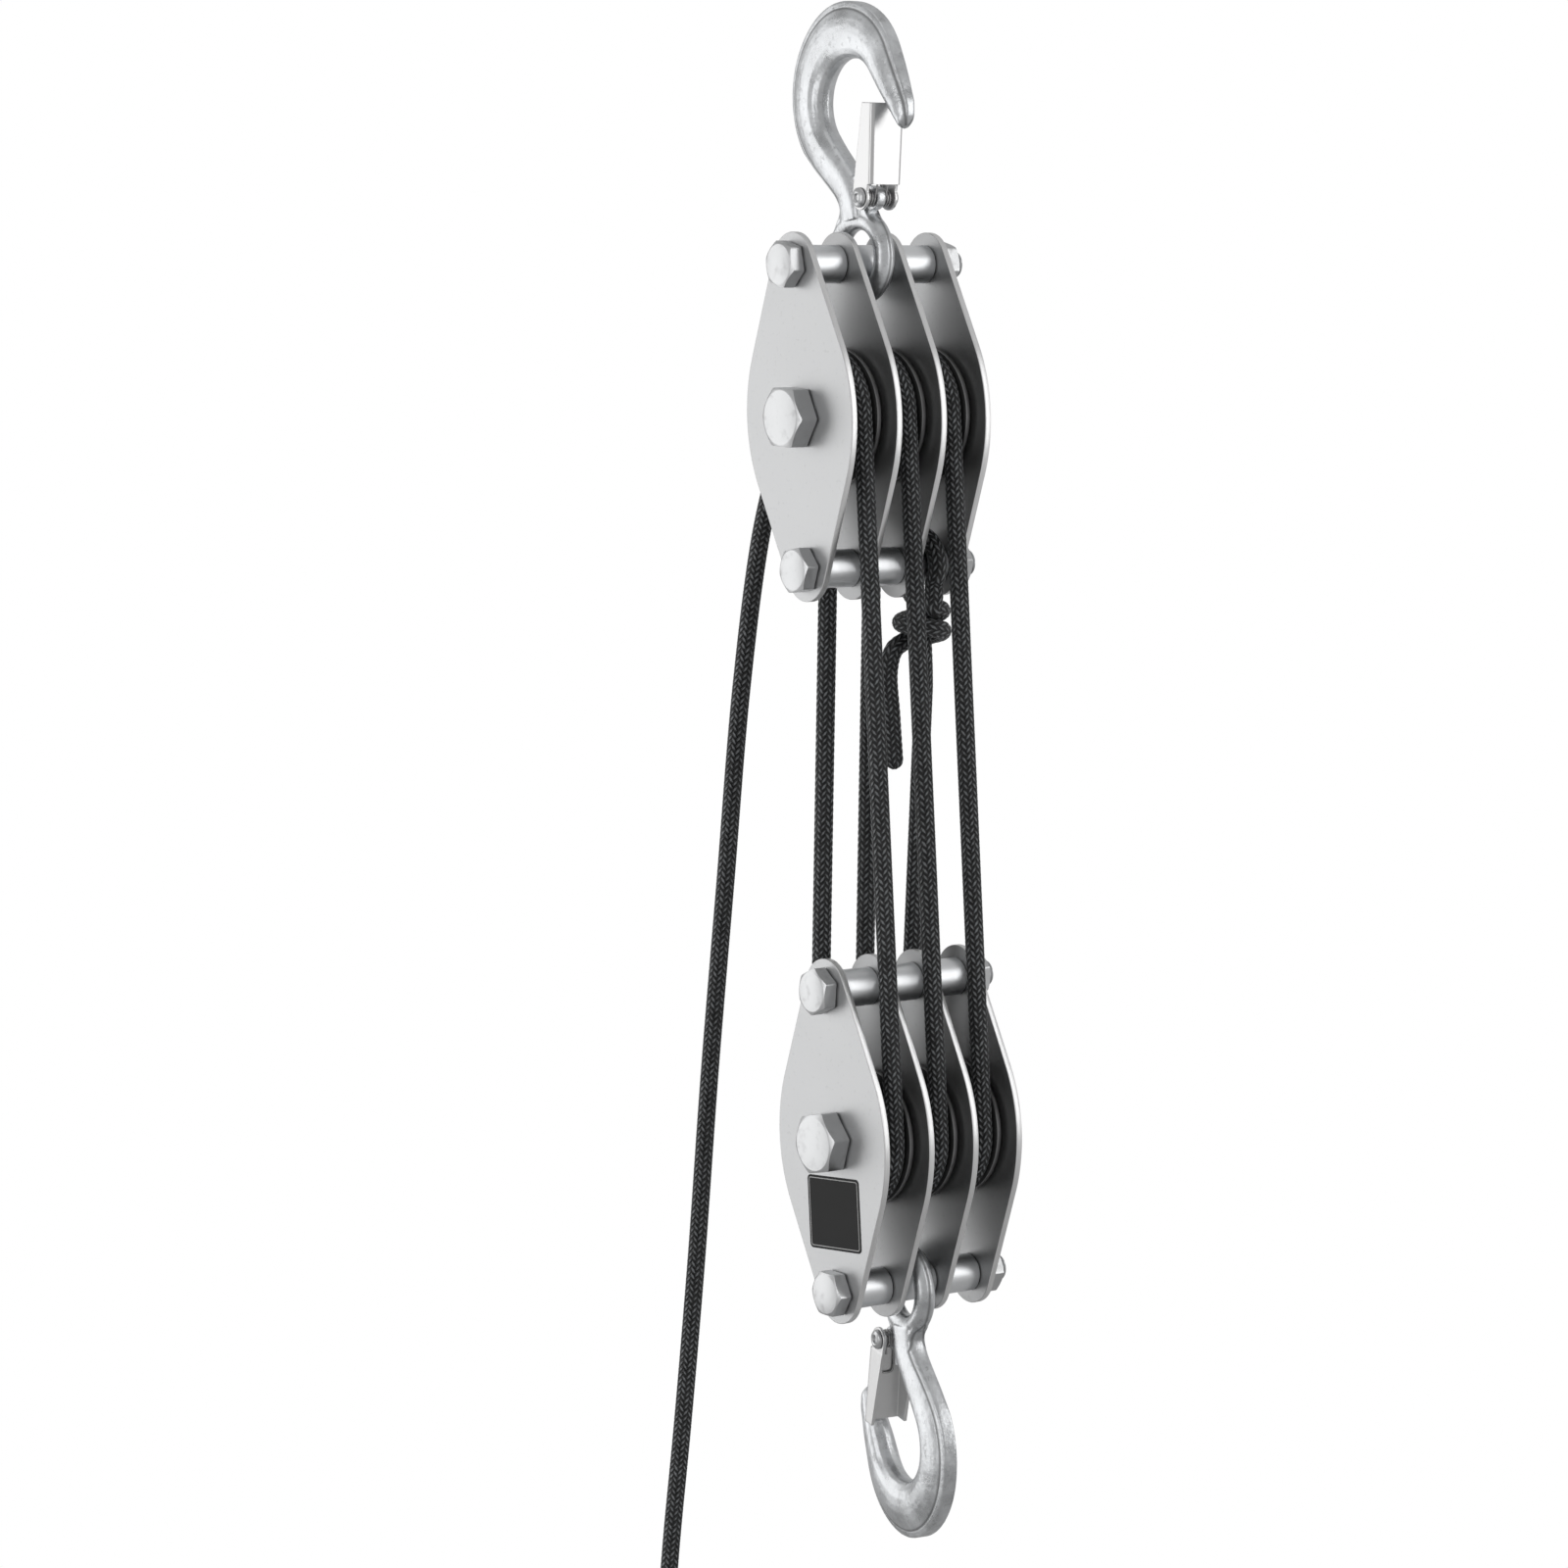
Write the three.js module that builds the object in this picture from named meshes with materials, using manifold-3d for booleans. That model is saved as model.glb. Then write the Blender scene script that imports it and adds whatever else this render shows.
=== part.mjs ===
// Block and tackle: two triple-sheave blocks, each hung on a forged eye hook with a sprung latch,
// rove with one braided rope in six falls and a hauling line.
// Millimetres, +Z up. The origin is the seat in the bowl of the upper hook, where the tackle hangs.
// X points from the back falls to the front falls, Y runs along the axles from bolt heads to nuts.

import * as THREE from 'three';
import { mergeVertices } from 'three/addons/utils/BufferGeometryUtils.js';
import Module from 'manifold-3d';

const wasm = await Module();
wasm.setup();

// Clearances
const seatGap = 0.3;
const boreGap = 0.3;
const grooveGap = 0.7;
const sideGap = 0.6;
const overrun = 5;
const weldDistance = 0.001;

// Rope
const ropeDiameter = 10;
const ropeSides = 8;
const ropeRadius = ropeDiameter / 2;

// Cheek plates
const cheekThickness = 3.6;
const cheekHalfWidth = 45.5;
const cheekWaistRadius = 84;
const cheekEndRadius = 16.7;
const boltReach = 79;
const bayWidth = 25.6;
const cheekCount = 4;
const bayCount = cheekCount - 1;
const cheekPitch = bayWidth + cheekThickness;
const stackHalf = (bayCount * cheekPitch + cheekThickness) / 2;

// Axle bolt and tie bolts, with their nuts
const axleBolt = { diameter: 20, flats: 30, head: 11.8, nut: 16, proud: 5 };
const tieBolt = { diameter: 14, flats: 22, head: 8.4, nut: 11, proud: 6 };
const headChamferAngle = 28;
const headChamferShare = 1.35;
const boltEndChamfer = 1.4;
const axleSides = 18;
const tieSides = 14;

// Spacer tubes on the tie bolts and sleeves on the axle
const spacerDiameter = 20;
const sleeveDiameter = 25;

// Sheaves
const sheaveRadius = 36;
const ropeOrbit = 33;
const sheaveHalfWidth = 10.4;
const rimLand = 2.6;
const hubRadius = 18;
const webRecess = 3.2;
const rimDepth = 11.5;
const sheaveSegments = 20;

// Distance between the two axles as the photograph shows the tackle
const axleDistance = 377;

// Forged eye hook
const eyeHoleRadius = 14;
const eyeBarRadius = 5.5;
const bowlRadius = 23;
const bowlRise = 80;
const bowlOffset = 4;
const saddleDepth = 30.5;
const crownThickness = 15.5;
const rimThickness = 8;
const neckThickness = 13.6;
const neckDepth = 18;
const tipLength = 37;
const tipAngle = 30;
const neckAngle = 216;
const neckHandleShare = 2.4;
const neckRimShare = 0.8;
const tipInsetShare = 0.3;
const lugThickness = 5;
const lugRadius = 6.2;
const lugRootRadius = 9;
const pivotOut = 15.3;
const pivotUp = 29;
const pivotHoleGap = 0.3;
const lowerHookLean = 3;
const lowerHookYaw = -10;

// Sheet latch, its rivet and its spring
const latchLength = 49;
const latchReach = 9;
const latchSheet = 1.8;
const latchRootWidth = 19.8;
const latchEndWidth = 21.6;
const latchWebStart = 7;
const latchEarRadius = 6.5;
const rivetDiameter = 6;
const rivetHeadDiameter = 10.4;
const rivetHeadHeight = 2;
const rivetCrownShares = [[0, 1], [0.62, 0.86], [1, 0.3]];
const springWire = 1.1;
const springOrbit = 4.4;
const springPitch = 1.56;
const springCurls = 2.5;
const springBarStart = 8.8;
const springBarRise = 22;
const springTail = 7;
const springSteps = 8;
const springSides = 5;

// Becket hitch on the lower spacer of the upper block, in bay three
const hitchPitch = 10.7;
const hitchOrbit = 10.7;
const hitchTurns = 1.5;
const hitchDrop = 6.4;
const hitchLoopStart = 220;
const hitchLoopEnd = -38;
const hitchRiseShares = [0.3, 1];
const hitchFallShares = [1.08, 1.3];
const hitchTailLength = 68;
const hitchTailShares = [[1, 0.5, 0.0185], [1.1, 1, 0.0735], [1.2, 1.35, 0.235], [1.1, 1.4, 0.6],
  [0.9, 1.5, 1]];
const turnSteps = 14;

// Stopper knot at the end of the hauling line
const stopperPitch = 10.7;
const stopperOrbit = 10.7;
const stopperTurns = 1.5;
const stopperBend = 5.4;

// Hauling line: where it leaves its sheave, its straight start, and places chosen by hand as
// [back from the hang line, below the upper axle]
const haulLeave = 163;
const haulStraight = 20;
const haulRoute = [[61, 62], [84, 140], [107, 245], [130, 350], [151, 455], [172, 550], [186, 608],
  [193, 640]];
const quarterSteps = 6;

const radians = THREE.MathUtils.degToRad;
const { lerp, smoothstep } = THREE.MathUtils;

// Levels along the line on which everything hangs
const eyeRise = Math.hypot(bowlRise, bowlOffset) + bowlRadius;
const eyeOrbit = eyeHoleRadius + eyeBarRadius;
const eyeSag = eyeHoleRadius - spacerDiameter / 2 - seatGap;
const upperEyeZ = -eyeRise;
const upperAxleZ = upperEyeZ - eyeSag - boltReach;
const lowerAxleZ = upperAxleZ - axleDistance;
const lowerEyeZ = lowerAxleZ - boltReach - eyeSag;
const bayY = (bay) => (bay - (bayCount - 1) / 2) * cheekPitch;
const cheekY = (cheek) => (cheek - (cheekCount - 1) / 2) * cheekPitch;

// Finishes
const finishes = {
  cheek: { color: 0xb9bbbe, metalness: 0.85, roughness: 0.42 },
  zinc: { color: 0xd2d4d6, metalness: 0.9, roughness: 0.3 },
  forged: { color: 0xc4c6c8, metalness: 0.85, roughness: 0.4 },
  sheave: { color: 0x3b3c3f, metalness: 0.6, roughness: 0.45 },
  bronze: { color: 0xa9885a, metalness: 0.85, roughness: 0.4 },
  spring: { color: 0x8d9094, metalness: 0.9, roughness: 0.3 },
  rope: { color: 0x17181b, metalness: 0, roughness: 0.8 },
};

// One welded, outward-facing copy of a geometry, with only its positions
function weld(geometry) {
  const bare = geometry.clone();
  bare.deleteAttribute('normal');
  bare.deleteAttribute('uv');
  const merged = mergeVertices(bare, weldDistance);
  const corners = merged.index.array;
  const points = merged.attributes.position;
  const kept = [];
  let volume = 0;
  const [a, b, c] = [new THREE.Vector3(), new THREE.Vector3(), new THREE.Vector3()];
  for (let i = 0; i < corners.length; i += 3) {
    const [p, q, r] = [corners[i], corners[i + 1], corners[i + 2]];
    if (p === q || q === r || r === p) continue;
    kept.push(p, q, r);
    a.fromBufferAttribute(points, p);
    b.fromBufferAttribute(points, q);
    c.fromBufferAttribute(points, r);
    volume += a.dot(b.cross(c));
  }
  if (volume < 0) kept.reverse();
  merged.setIndex(kept);
  return merged;
}

const solid = (geometry) => {
  const merged = weld(geometry);
  return new wasm.Manifold(new wasm.Mesh({
    numProp: 3,
    vertProperties: new Float32Array(merged.attributes.position.array),
    triVerts: new Uint32Array(merged.index.array),
  }));
};

function surface(manifold) {
  const { vertProperties, triVerts, numProp } = manifold.getMesh();
  const positions = [];
  for (let i = 0; i < vertProperties.length; i += numProp) {
    positions.push(vertProperties[i], vertProperties[i + 1], vertProperties[i + 2]);
  }
  const geometry = new THREE.BufferGeometry();
  geometry.setAttribute('position', new THREE.Float32BufferAttribute(positions, 3));
  geometry.setIndex(Array.from(triVerts));
  return weld(geometry);
}

// Outline round a ring of circles taken anticlockwise, as a belt would lie on them
function beltOutline(circles, arcSteps) {
  const turnAt = (from, to) => {
    const across = Math.hypot(to.x - from.x, to.z - from.z);
    return Math.atan2(to.z - from.z, to.x - from.x) - Math.acos((from.r - to.r) / across);
  };
  const outline = [];
  circles.forEach((circle, i) => {
    const before = circles[(i + circles.length - 1) % circles.length];
    const after = circles[(i + 1) % circles.length];
    const start = turnAt(before, circle);
    let sweep = turnAt(circle, after) - start;
    while (sweep < 0) sweep += 2 * Math.PI;
    const steps = circle.r > 0 ? Math.max(2, Math.round((arcSteps * sweep) / Math.PI)) : 0;
    for (let s = 0; s <= steps; s++) {
      const turn = start + (steps ? (sweep * s) / steps : 0);
      outline.push(new THREE.Vector2(
        circle.x + circle.r * Math.cos(turn),
        circle.z + circle.r * Math.sin(turn),
      ));
    }
  });
  return outline;
}

const circlePath = (x, z, radius, steps) => {
  const points = [];
  for (let i = 0; i < steps; i++) {
    const turn = (2 * Math.PI * i) / steps;
    points.push(new THREE.Vector2(x + radius * Math.cos(turn), z + radius * Math.sin(turn)));
  }
  return points;
};

// A flat outline in X and Z with round holes, given a width along Y and centred on it
function slab(outline, width, holes = []) {
  const shape = new THREE.Shape(outline);
  holes.forEach((hole) => shape.holes.push(new THREE.Path(hole)));
  const geometry = new THREE.ExtrudeGeometry(shape, { depth: width, bevelEnabled: false });
  geometry.rotateX(Math.PI / 2);
  geometry.translate(0, width / 2, 0);
  return geometry;
}

// A turned piece on the Y axis from its profile of [radius, y] points
function turned(profile, segments) {
  return new THREE.LatheGeometry(profile.map(([r, y]) => new THREE.Vector2(r, y)), segments);
}

function rod(radius, fromY, toY, segments) {
  return turned([[0, fromY], [radius, fromY], [radius, toY], [0, toY]], segments);
}

function pipe(outer, inner, length, segments) {
  const half = length / 2;
  return turned(
    [[inner, -half], [outer, -half], [outer, half], [inner, half], [inner, -half]],
    segments,
  );
}

const evenStepShare = 0.5;
const turnBackShare = 0.5;

// A route through stations, sampled at the stations themselves
class Route extends THREE.Curve {
  constructor(stations) {
    super();
    this.stations = stations;
  }

  place(t) {
    const last = this.stations.length - 1;
    const spot = Math.min(Math.max(t, 0), 1) * last;
    const near = Math.min(Math.floor(spot + weldDistance), last);
    return { near, rest: Math.max(spot - near, 0), last };
  }

  getPoint(t) {
    const { near, rest, last } = this.place(t);
    return this.stations[near].clone().lerp(this.stations[Math.min(near + 1, last)], rest);
  }

  chord(from, to) {
    return this.stations[to].clone().sub(this.stations[from]);
  }

  // At an end the chord is turned back by half a step, so that an arc ends square
  getTangent(t) {
    const { near, last } = this.place(t);
    if (near > 0 && near < last) return this.chord(near - 1, near + 1).normalize();
    const [first, next] = near === 0
      ? [this.chord(0, 1), this.chord(1, 2)]
      : [this.chord(last - 1, last), this.chord(last - 2, last - 1)];
    const evenSteps = Math.abs(first.length() / next.length() - 1) < evenStepShare;
    const unit = first.clone().normalize();
    const turn = unit.clone().sub(next.normalize()).multiplyScalar(evenSteps ? turnBackShare : 0);
    return unit.add(turn).normalize();
  }

  getPointAt(t) {
    return this.getPoint(t);
  }

  getTangentAt(t) {
    return this.getTangent(t);
  }
}

// A closed tube through stations
function tube(stations, diameter, sides) {
  return new THREE.ExtrudeGeometry(new THREE.Shape(circlePath(0, 0, diameter / 2, sides)), {
    steps: stations.length - 1,
    bevelEnabled: false,
    extrudePath: new Route(stations),
  });
}

// Stations on a smooth curve through points
const smoothStations = (points, count) =>
  new THREE.CatmullRomCurve3(points, false, 'centripetal').getSpacedPoints(count);

const partsShare = 4;
const neighbourShare = 2;

// Least gap that a tube leaves to itself, between stretches that aren't neighbours
function selfGap(stations, diameter) {
  const distances = [0];
  stations.forEach((point, i) => {
    if (i) distances.push(distances[i - 1] + point.distanceTo(stations[i - 1]));
  });
  const fine = [];
  stations.forEach((point, i) => {
    if (!i) return;
    const parts = Math.max(1, Math.ceil((partsShare * point.distanceTo(stations[i - 1])) / diameter));
    for (let s = 0; s < parts; s++) {
      const spot = stations[i - 1].clone().lerp(point, s / parts);
      fine.push({ spot, along: lerp(distances[i - 1], distances[i], s / parts) });
    }
  });
  let least = Infinity;
  fine.forEach((one, i) => {
    for (let j = i + 1; j < fine.length; j++) {
      if (fine[j].along - one.along < neighbourShare * diameter) continue;
      least = Math.min(least, one.spot.distanceTo(fine[j].spot) - diameter);
    }
  });
  return least;
}

const root = new THREE.Group();

function piece(parent, name, geometry, finish) {
  const mesh = new THREE.Mesh(geometry, new THREE.MeshStandardMaterial(finishes[finish]));
  mesh.name = name;
  parent.add(mesh);
  return mesh;
}

// Cheek plate: a diamond with round ends and bowed waists, with a bolt hole at each end
function cheekGeometry() {
  const waist = cheekWaistRadius - cheekHalfWidth;
  const outline = beltOutline([
    { x: -waist, z: 0, r: cheekWaistRadius },
    { x: 0, z: boltReach, r: cheekEndRadius },
    { x: waist, z: 0, r: cheekWaistRadius },
    { x: 0, z: -boltReach, r: cheekEndRadius },
  ], 16);
  return weld(slab(outline, cheekThickness, [
    circlePath(0, 0, axleBolt.diameter / 2 + boreGap, 16),
    circlePath(0, boltReach, tieBolt.diameter / 2 + boreGap, 12),
    circlePath(0, -boltReach, tieBolt.diameter / 2 + boreGap, 12),
  ]));
}

// Hexagon with its outer corners chamfered on a cone, standing from fromY towards toY
function hexagon(flats, fromY, toY) {
  const corner = flats / Math.sqrt(3);
  const outward = Math.sign(toY - fromY);
  const drop = (corner - flats / 2) * Math.tan(radians(headChamferAngle)) * outward;
  const outline = circlePath(0, 0, corner, 6).map((p) => new THREE.Vector2(p.y, p.x));
  const prism = slab(outline.reverse(), Math.abs(toY - fromY));
  prism.translate(0, (fromY + toY) / 2, 0);
  const cone = turned([
    [0, fromY], [corner + boreGap, fromY], [corner + boreGap, toY - headChamferShare * drop],
    [flats / 2 - boltEndChamfer, toY], [0, toY],
  ], 12);
  return solid(prism).intersect(solid(cone));
}

// Bolt with its head on the -Y side and a chamfered end past the nut
function boltGeometry(bolt, segments) {
  const under = -stackHalf - seatGap;
  const end = stackHalf + seatGap + bolt.nut + bolt.proud;
  const radius = bolt.diameter / 2;
  const shank = turned([
    [0, under - bolt.head / 2], [radius, under - bolt.head / 2], [radius, end - boltEndChamfer],
    [radius - boltEndChamfer, end], [0, end],
  ], segments);
  return surface(hexagon(bolt.flats, under, under - bolt.head).add(solid(shank)));
}

function nutGeometry(bolt, segments) {
  const near = stackHalf + seatGap;
  const far = near + bolt.nut;
  const bore = rod(bolt.diameter / 2 + boreGap, near - overrun, far + overrun, segments);
  return surface(hexagon(bolt.flats, near, far).subtract(solid(bore)));
}

// Sheave: hub, recessed web and a rim with a round-bottomed groove for the rope
function sheaveGeometry() {
  const groove = ropeRadius + grooveGap;
  const hubHalf = bayWidth / 2 - sideGap;
  const web = sheaveHalfWidth - webRecess;
  const rimInner = sheaveRadius - rimDepth;
  const bore = sleeveDiameter / 2 + boreGap;
  const lip = sheaveHalfWidth - rimLand;
  const side = (sign) => [
    [bore, sign * hubHalf], [hubRadius, sign * hubHalf], [hubRadius, sign * web],
    [rimInner, sign * web], [rimInner, sign * sheaveHalfWidth],
    [sheaveRadius - rimLand / 2, sign * sheaveHalfWidth], [sheaveRadius, sign * lip],
    [ropeOrbit, sign * groove],
    [ropeOrbit - groove * Math.SQRT1_2, sign * groove * Math.SQRT1_2],
  ];
  const profile = [...side(-1), [ropeOrbit - groove, 0], ...side(1).reverse()];
  return weld(turned([...profile, profile[0]], sheaveSegments));
}

// Shares of the saddle's depth and of the crown's thickness at angles round the bowl
const bowlDepthShares = [[30, 0.7], [60, 0.88], [95, 1], [140, 0.95], [180, 0.85], [216, 0.76]];
const tipDepthShares = [[0.3, 0.62], [0.6, 0.52], [0.85, 0.4], [0.96, 0.26], [1, 0.12]];
const tipThicknessShares = [[0.3, 0.94], [0.6, 0.8], [0.85, 0.66], [0.96, 0.5], [1, 0.24]];

// Hook section: place from bowl side to rim as shares of depth, then shares of crown and rim
const sectionShares = [[0, 0, 0], [0.08, 0.66, 0], [0.3, 1, 0], [0.58, 0.92, 0.02],
  [0.84, 0.3, 0.7], [1, 0, 1]];

function shareAt(table, key) {
  const next = table.findIndex(([at]) => at >= key);
  if (next <= 0) return table[next === 0 ? 0 : table.length - 1][1];
  const [low, from] = table[next - 1];
  const [high, to] = table[next];
  return lerp(from, to, smoothstep(key, low, high));
}

// A closed solid through rings with equal numbers of points
function loft(rings) {
  const size = rings[0].length;
  const positions = rings.flat().flatMap((p) => [p.x, p.y, p.z]);
  const faces = [];
  rings.slice(1).forEach((_, k) => {
    for (let i = 0; i < size; i++) {
      const [a, b] = [k * size + i, k * size + ((i + 1) % size)];
      faces.push(a, b, b + size, a, b + size, a + size);
    }
  });
  const last = (rings.length - 1) * size;
  for (let i = 1; i < size - 1; i++) {
    faces.push(0, i + 1, i, last, last + i, last + i + 1);
  }
  const geometry = new THREE.BufferGeometry();
  geometry.setAttribute('position', new THREE.Float32BufferAttribute(positions, 3));
  geometry.setIndex(faces);
  return geometry;
}

function hookSection(inner, outward, depth, crown, rim) {
  const half = sectionShares.map(([along, ofCrown, ofRim]) => ({
    along: along * depth,
    y: (ofCrown * crown + ofRim * rim) / 2,
  }));
  const ring = half.map(({ along, y }) => ({ along, y }));
  half.slice(1).reverse().forEach(({ along, y }) => ring.push({ along, y: -y }));
  return ring.map(({ along, y }) =>
    new THREE.Vector3(inner.x + outward.x * along, y, inner.y + outward.y * along));
}

const bowlCentre = new THREE.Vector2(bowlOffset, bowlRise);
const pivot = new THREE.Vector2(pivotOut, pivotUp);
const towards = (degrees) => new THREE.Vector2(Math.cos(radians(degrees)), Math.sin(radians(degrees)));
const tipNormal = towards(tipAngle);
const tipRun = towards(tipAngle - 90);
const tipRoot = bowlCentre.clone().addScaledVector(tipNormal, bowlRadius);

// Forged hook: tapering bowl, neck, eye and the lug that carries the latch
function hookGeometry() {
  const rings = [];
  tipDepthShares.slice().reverse().forEach(([share, depthShare], i) => {
    const thick = tipThicknessShares[tipThicknessShares.length - 1 - i][1];
    const inner = tipRoot.clone().addScaledVector(tipRun, share * tipLength)
      .addScaledVector(tipNormal, (1 - thick) * rimThickness * tipInsetShare);
    rings.push(hookSection(inner, tipNormal, depthShare * saddleDepth,
      thick * crownThickness, thick * rimThickness));
  });
  const bowlSteps = 17;
  for (let i = 0; i <= bowlSteps; i++) {
    const angle = lerp(tipAngle, neckAngle, i / bowlSteps);
    const outward = towards(angle);
    const inner = bowlCentre.clone().addScaledVector(outward, bowlRadius);
    rings.push(hookSection(inner, outward, shareAt(bowlDepthShares, angle) * saddleDepth,
      crownThickness, rimThickness));
  }
  const endDepth = shareAt(bowlDepthShares, neckAngle) * saddleDepth;
  const outward = towards(neckAngle);
  const run = towards(neckAngle + 90);
  const from = bowlCentre.clone().addScaledVector(outward, bowlRadius + endDepth / 2);
  const to = new THREE.Vector2(0, eyeOrbit);
  const handle = from.distanceTo(to) / neckHandleShare;
  const neck = new THREE.CubicBezierCurve(from, from.clone().addScaledVector(run, handle),
    new THREE.Vector2(0, eyeOrbit + handle), to);
  const neckSteps = 6;
  for (let i = 1; i <= neckSteps; i++) {
    const share = i / neckSteps;
    const along = neck.getTangent(share);
    const across = new THREE.Vector2(along.y, -along.x);
    const depth = lerp(endDepth, neckDepth, share);
    const inner = neck.getPoint(share).addScaledVector(across, -depth / 2);
    const thick = i === neckSteps ? 2 * eyeBarRadius - boreGap : neckThickness;
    const rim = lerp(rimThickness, thick * neckRimShare, share);
    rings.push(hookSection(inner, across, depth, lerp(crownThickness, thick, share), rim));
  }
  const ringPoints = circlePath(eyeOrbit, 0, eyeBarRadius, 8).map((p) => [p.x, p.y]);
  const eye = turned([...ringPoints, ringPoints[0]], 24);
  const lug = slab(beltOutline([
    { x: 0, z: pivotUp, r: lugRootRadius },
    { x: pivot.x, z: pivot.y, r: lugRadius },
  ], 10), lugThickness);
  const pinHole = rod(rivetDiameter / 2 + pivotHoleGap, -crownThickness, crownThickness, 14);
  pinHole.translate(pivot.x, 0, pivot.y);
  const eyeHole = rod(eyeHoleRadius, -crownThickness, crownThickness, 24);
  return surface(solid(loft(rings)).add(solid(lug)).subtract(solid(eyeHole))
    .add(solid(eye)).subtract(solid(pinHole)));
}

// Lean of the shut latch at which its free end rests just inside the tip
function latchLeanAngle() {
  const room = tipRoot.dot(tipNormal) - pivot.dot(tipNormal) - seatGap;
  const span = Math.hypot(latchReach, latchLength);
  return Math.atan2(latchLength, latchReach) - Math.acos(room / span) - radians(tipAngle);
}

// Half the latch's width over its flanges at a height above its pivot
const latchLow = -latchEarRadius - overrun;
const latchHigh = latchLength + overrun;
const latchHalfAt = (z) =>
  lerp(latchRootWidth, latchEndWidth, (z - latchLow) / (latchHigh - latchLow)) / 2;

// Sheet latch on its own axes: pivot at zero, web up +Z and facing +X, two side flanges with ears
function latchGeometry() {
  const side = slab(beltOutline([
    { x: 0, z: 0, r: latchEarRadius },
    { x: latchReach, z: latchWebStart, r: 0 },
    { x: latchReach, z: latchLength, r: 0 },
    { x: 0, z: latchLength, r: 0 },
  ], 10), latchEndWidth);
  const taper = (inset, fromX, toX) => {
    const [foot, end] = [latchRootWidth / 2 - inset, latchEndWidth / 2 - inset];
    const outline = new THREE.Shape([
      new THREE.Vector2(-foot, latchLow), new THREE.Vector2(foot, latchLow),
      new THREE.Vector2(end, latchHigh), new THREE.Vector2(-end, latchHigh),
    ]);
    const block = new THREE.ExtrudeGeometry(outline, { depth: toX - fromX, bevelEnabled: false });
    block.rotateX(Math.PI / 2);
    block.rotateZ(Math.PI / 2);
    block.translate(fromX, 0, 0);
    return solid(block);
  };
  const hole = rod(rivetDiameter / 2 + pivotHoleGap, -latchEndWidth, latchEndWidth, 14);
  return surface(solid(side)
    .intersect(taper(0, latchLow, latchReach + overrun))
    .subtract(taper(latchSheet, latchLow, latchReach - latchSheet))
    .subtract(solid(hole)));
}

function rivetGeometry() {
  const headRadius = rivetHeadDiameter / 2;
  const half = latchHalfAt(headRadius) + seatGap;
  const end = (sign) => [
    ...rivetCrownShares.map(([out, high]) => [headRadius * out, sign * (half + rivetHeadHeight * high)]),
    [headRadius, sign * half], [rivetDiameter / 2, sign * half],
  ];
  return weld(turned([...end(-1), ...end(1).reverse()], 14));
}

// Double torsion spring: tail, curls, a bar up behind the web and back, curls, tail
function springStations() {
  const wire = springWire / 2;
  const outerY = latchRootWidth / 2 - latchSheet - seatGap - wire;
  const innerY = outerY - springCurls * springPitch;
  const barX = latchReach - latchSheet - seatGap - wire;
  const half = [new THREE.Vector3(-springOrbit - wire, outerY, springTail)];
  const steps = springCurls * springSteps;
  for (let i = 0; i <= steps; i++) {
    const turn = Math.PI + (2 * Math.PI * i) / springSteps;
    half.push(new THREE.Vector3(
      springOrbit * Math.cos(turn),
      lerp(outerY, innerY, i / steps),
      springOrbit * Math.sin(turn),
    ));
  }
  half.push(new THREE.Vector3(barX, innerY, springBarStart));
  half.push(new THREE.Vector3(barX, innerY, springBarRise - springWire));
  half.push(new THREE.Vector3(barX, innerY - springWire, springBarRise));
  const mirrored = half.slice().reverse().map((p) => new THREE.Vector3(p.x, -p.y, p.z));
  return [...half, ...mirrored];
}

// One hook with its latch, rivet and spring, eye centre at the group's own zero
function addHook(name, z, lean, yaw) {
  const group = new THREE.Group();
  group.position.set(0, 0, z);
  group.rotation.set(0, lean, yaw, 'ZYX');
  root.add(group);
  piece(group, `${name}_hook`, hookGeometry(), 'forged');
  const pin = new THREE.Group();
  pin.position.set(pivot.x, 0, pivot.y);
  group.add(pin);
  piece(pin, `${name}_latch_rivet`, rivetGeometry(), 'zinc');
  const swing = new THREE.Group();
  swing.rotation.y = latchLeanAngle();
  pin.add(swing);
  piece(swing, `${name}_latch`, latchGeometry(), 'zinc');
  const stations = springStations();
  piece(swing, `${name}_latch_spring`, weld(tube(stations, springWire, springSides)), 'spring');
  console.log(`${name}_latch_spring least gap to itself`, selfGap(stations, springWire).toFixed(2));
}

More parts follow.
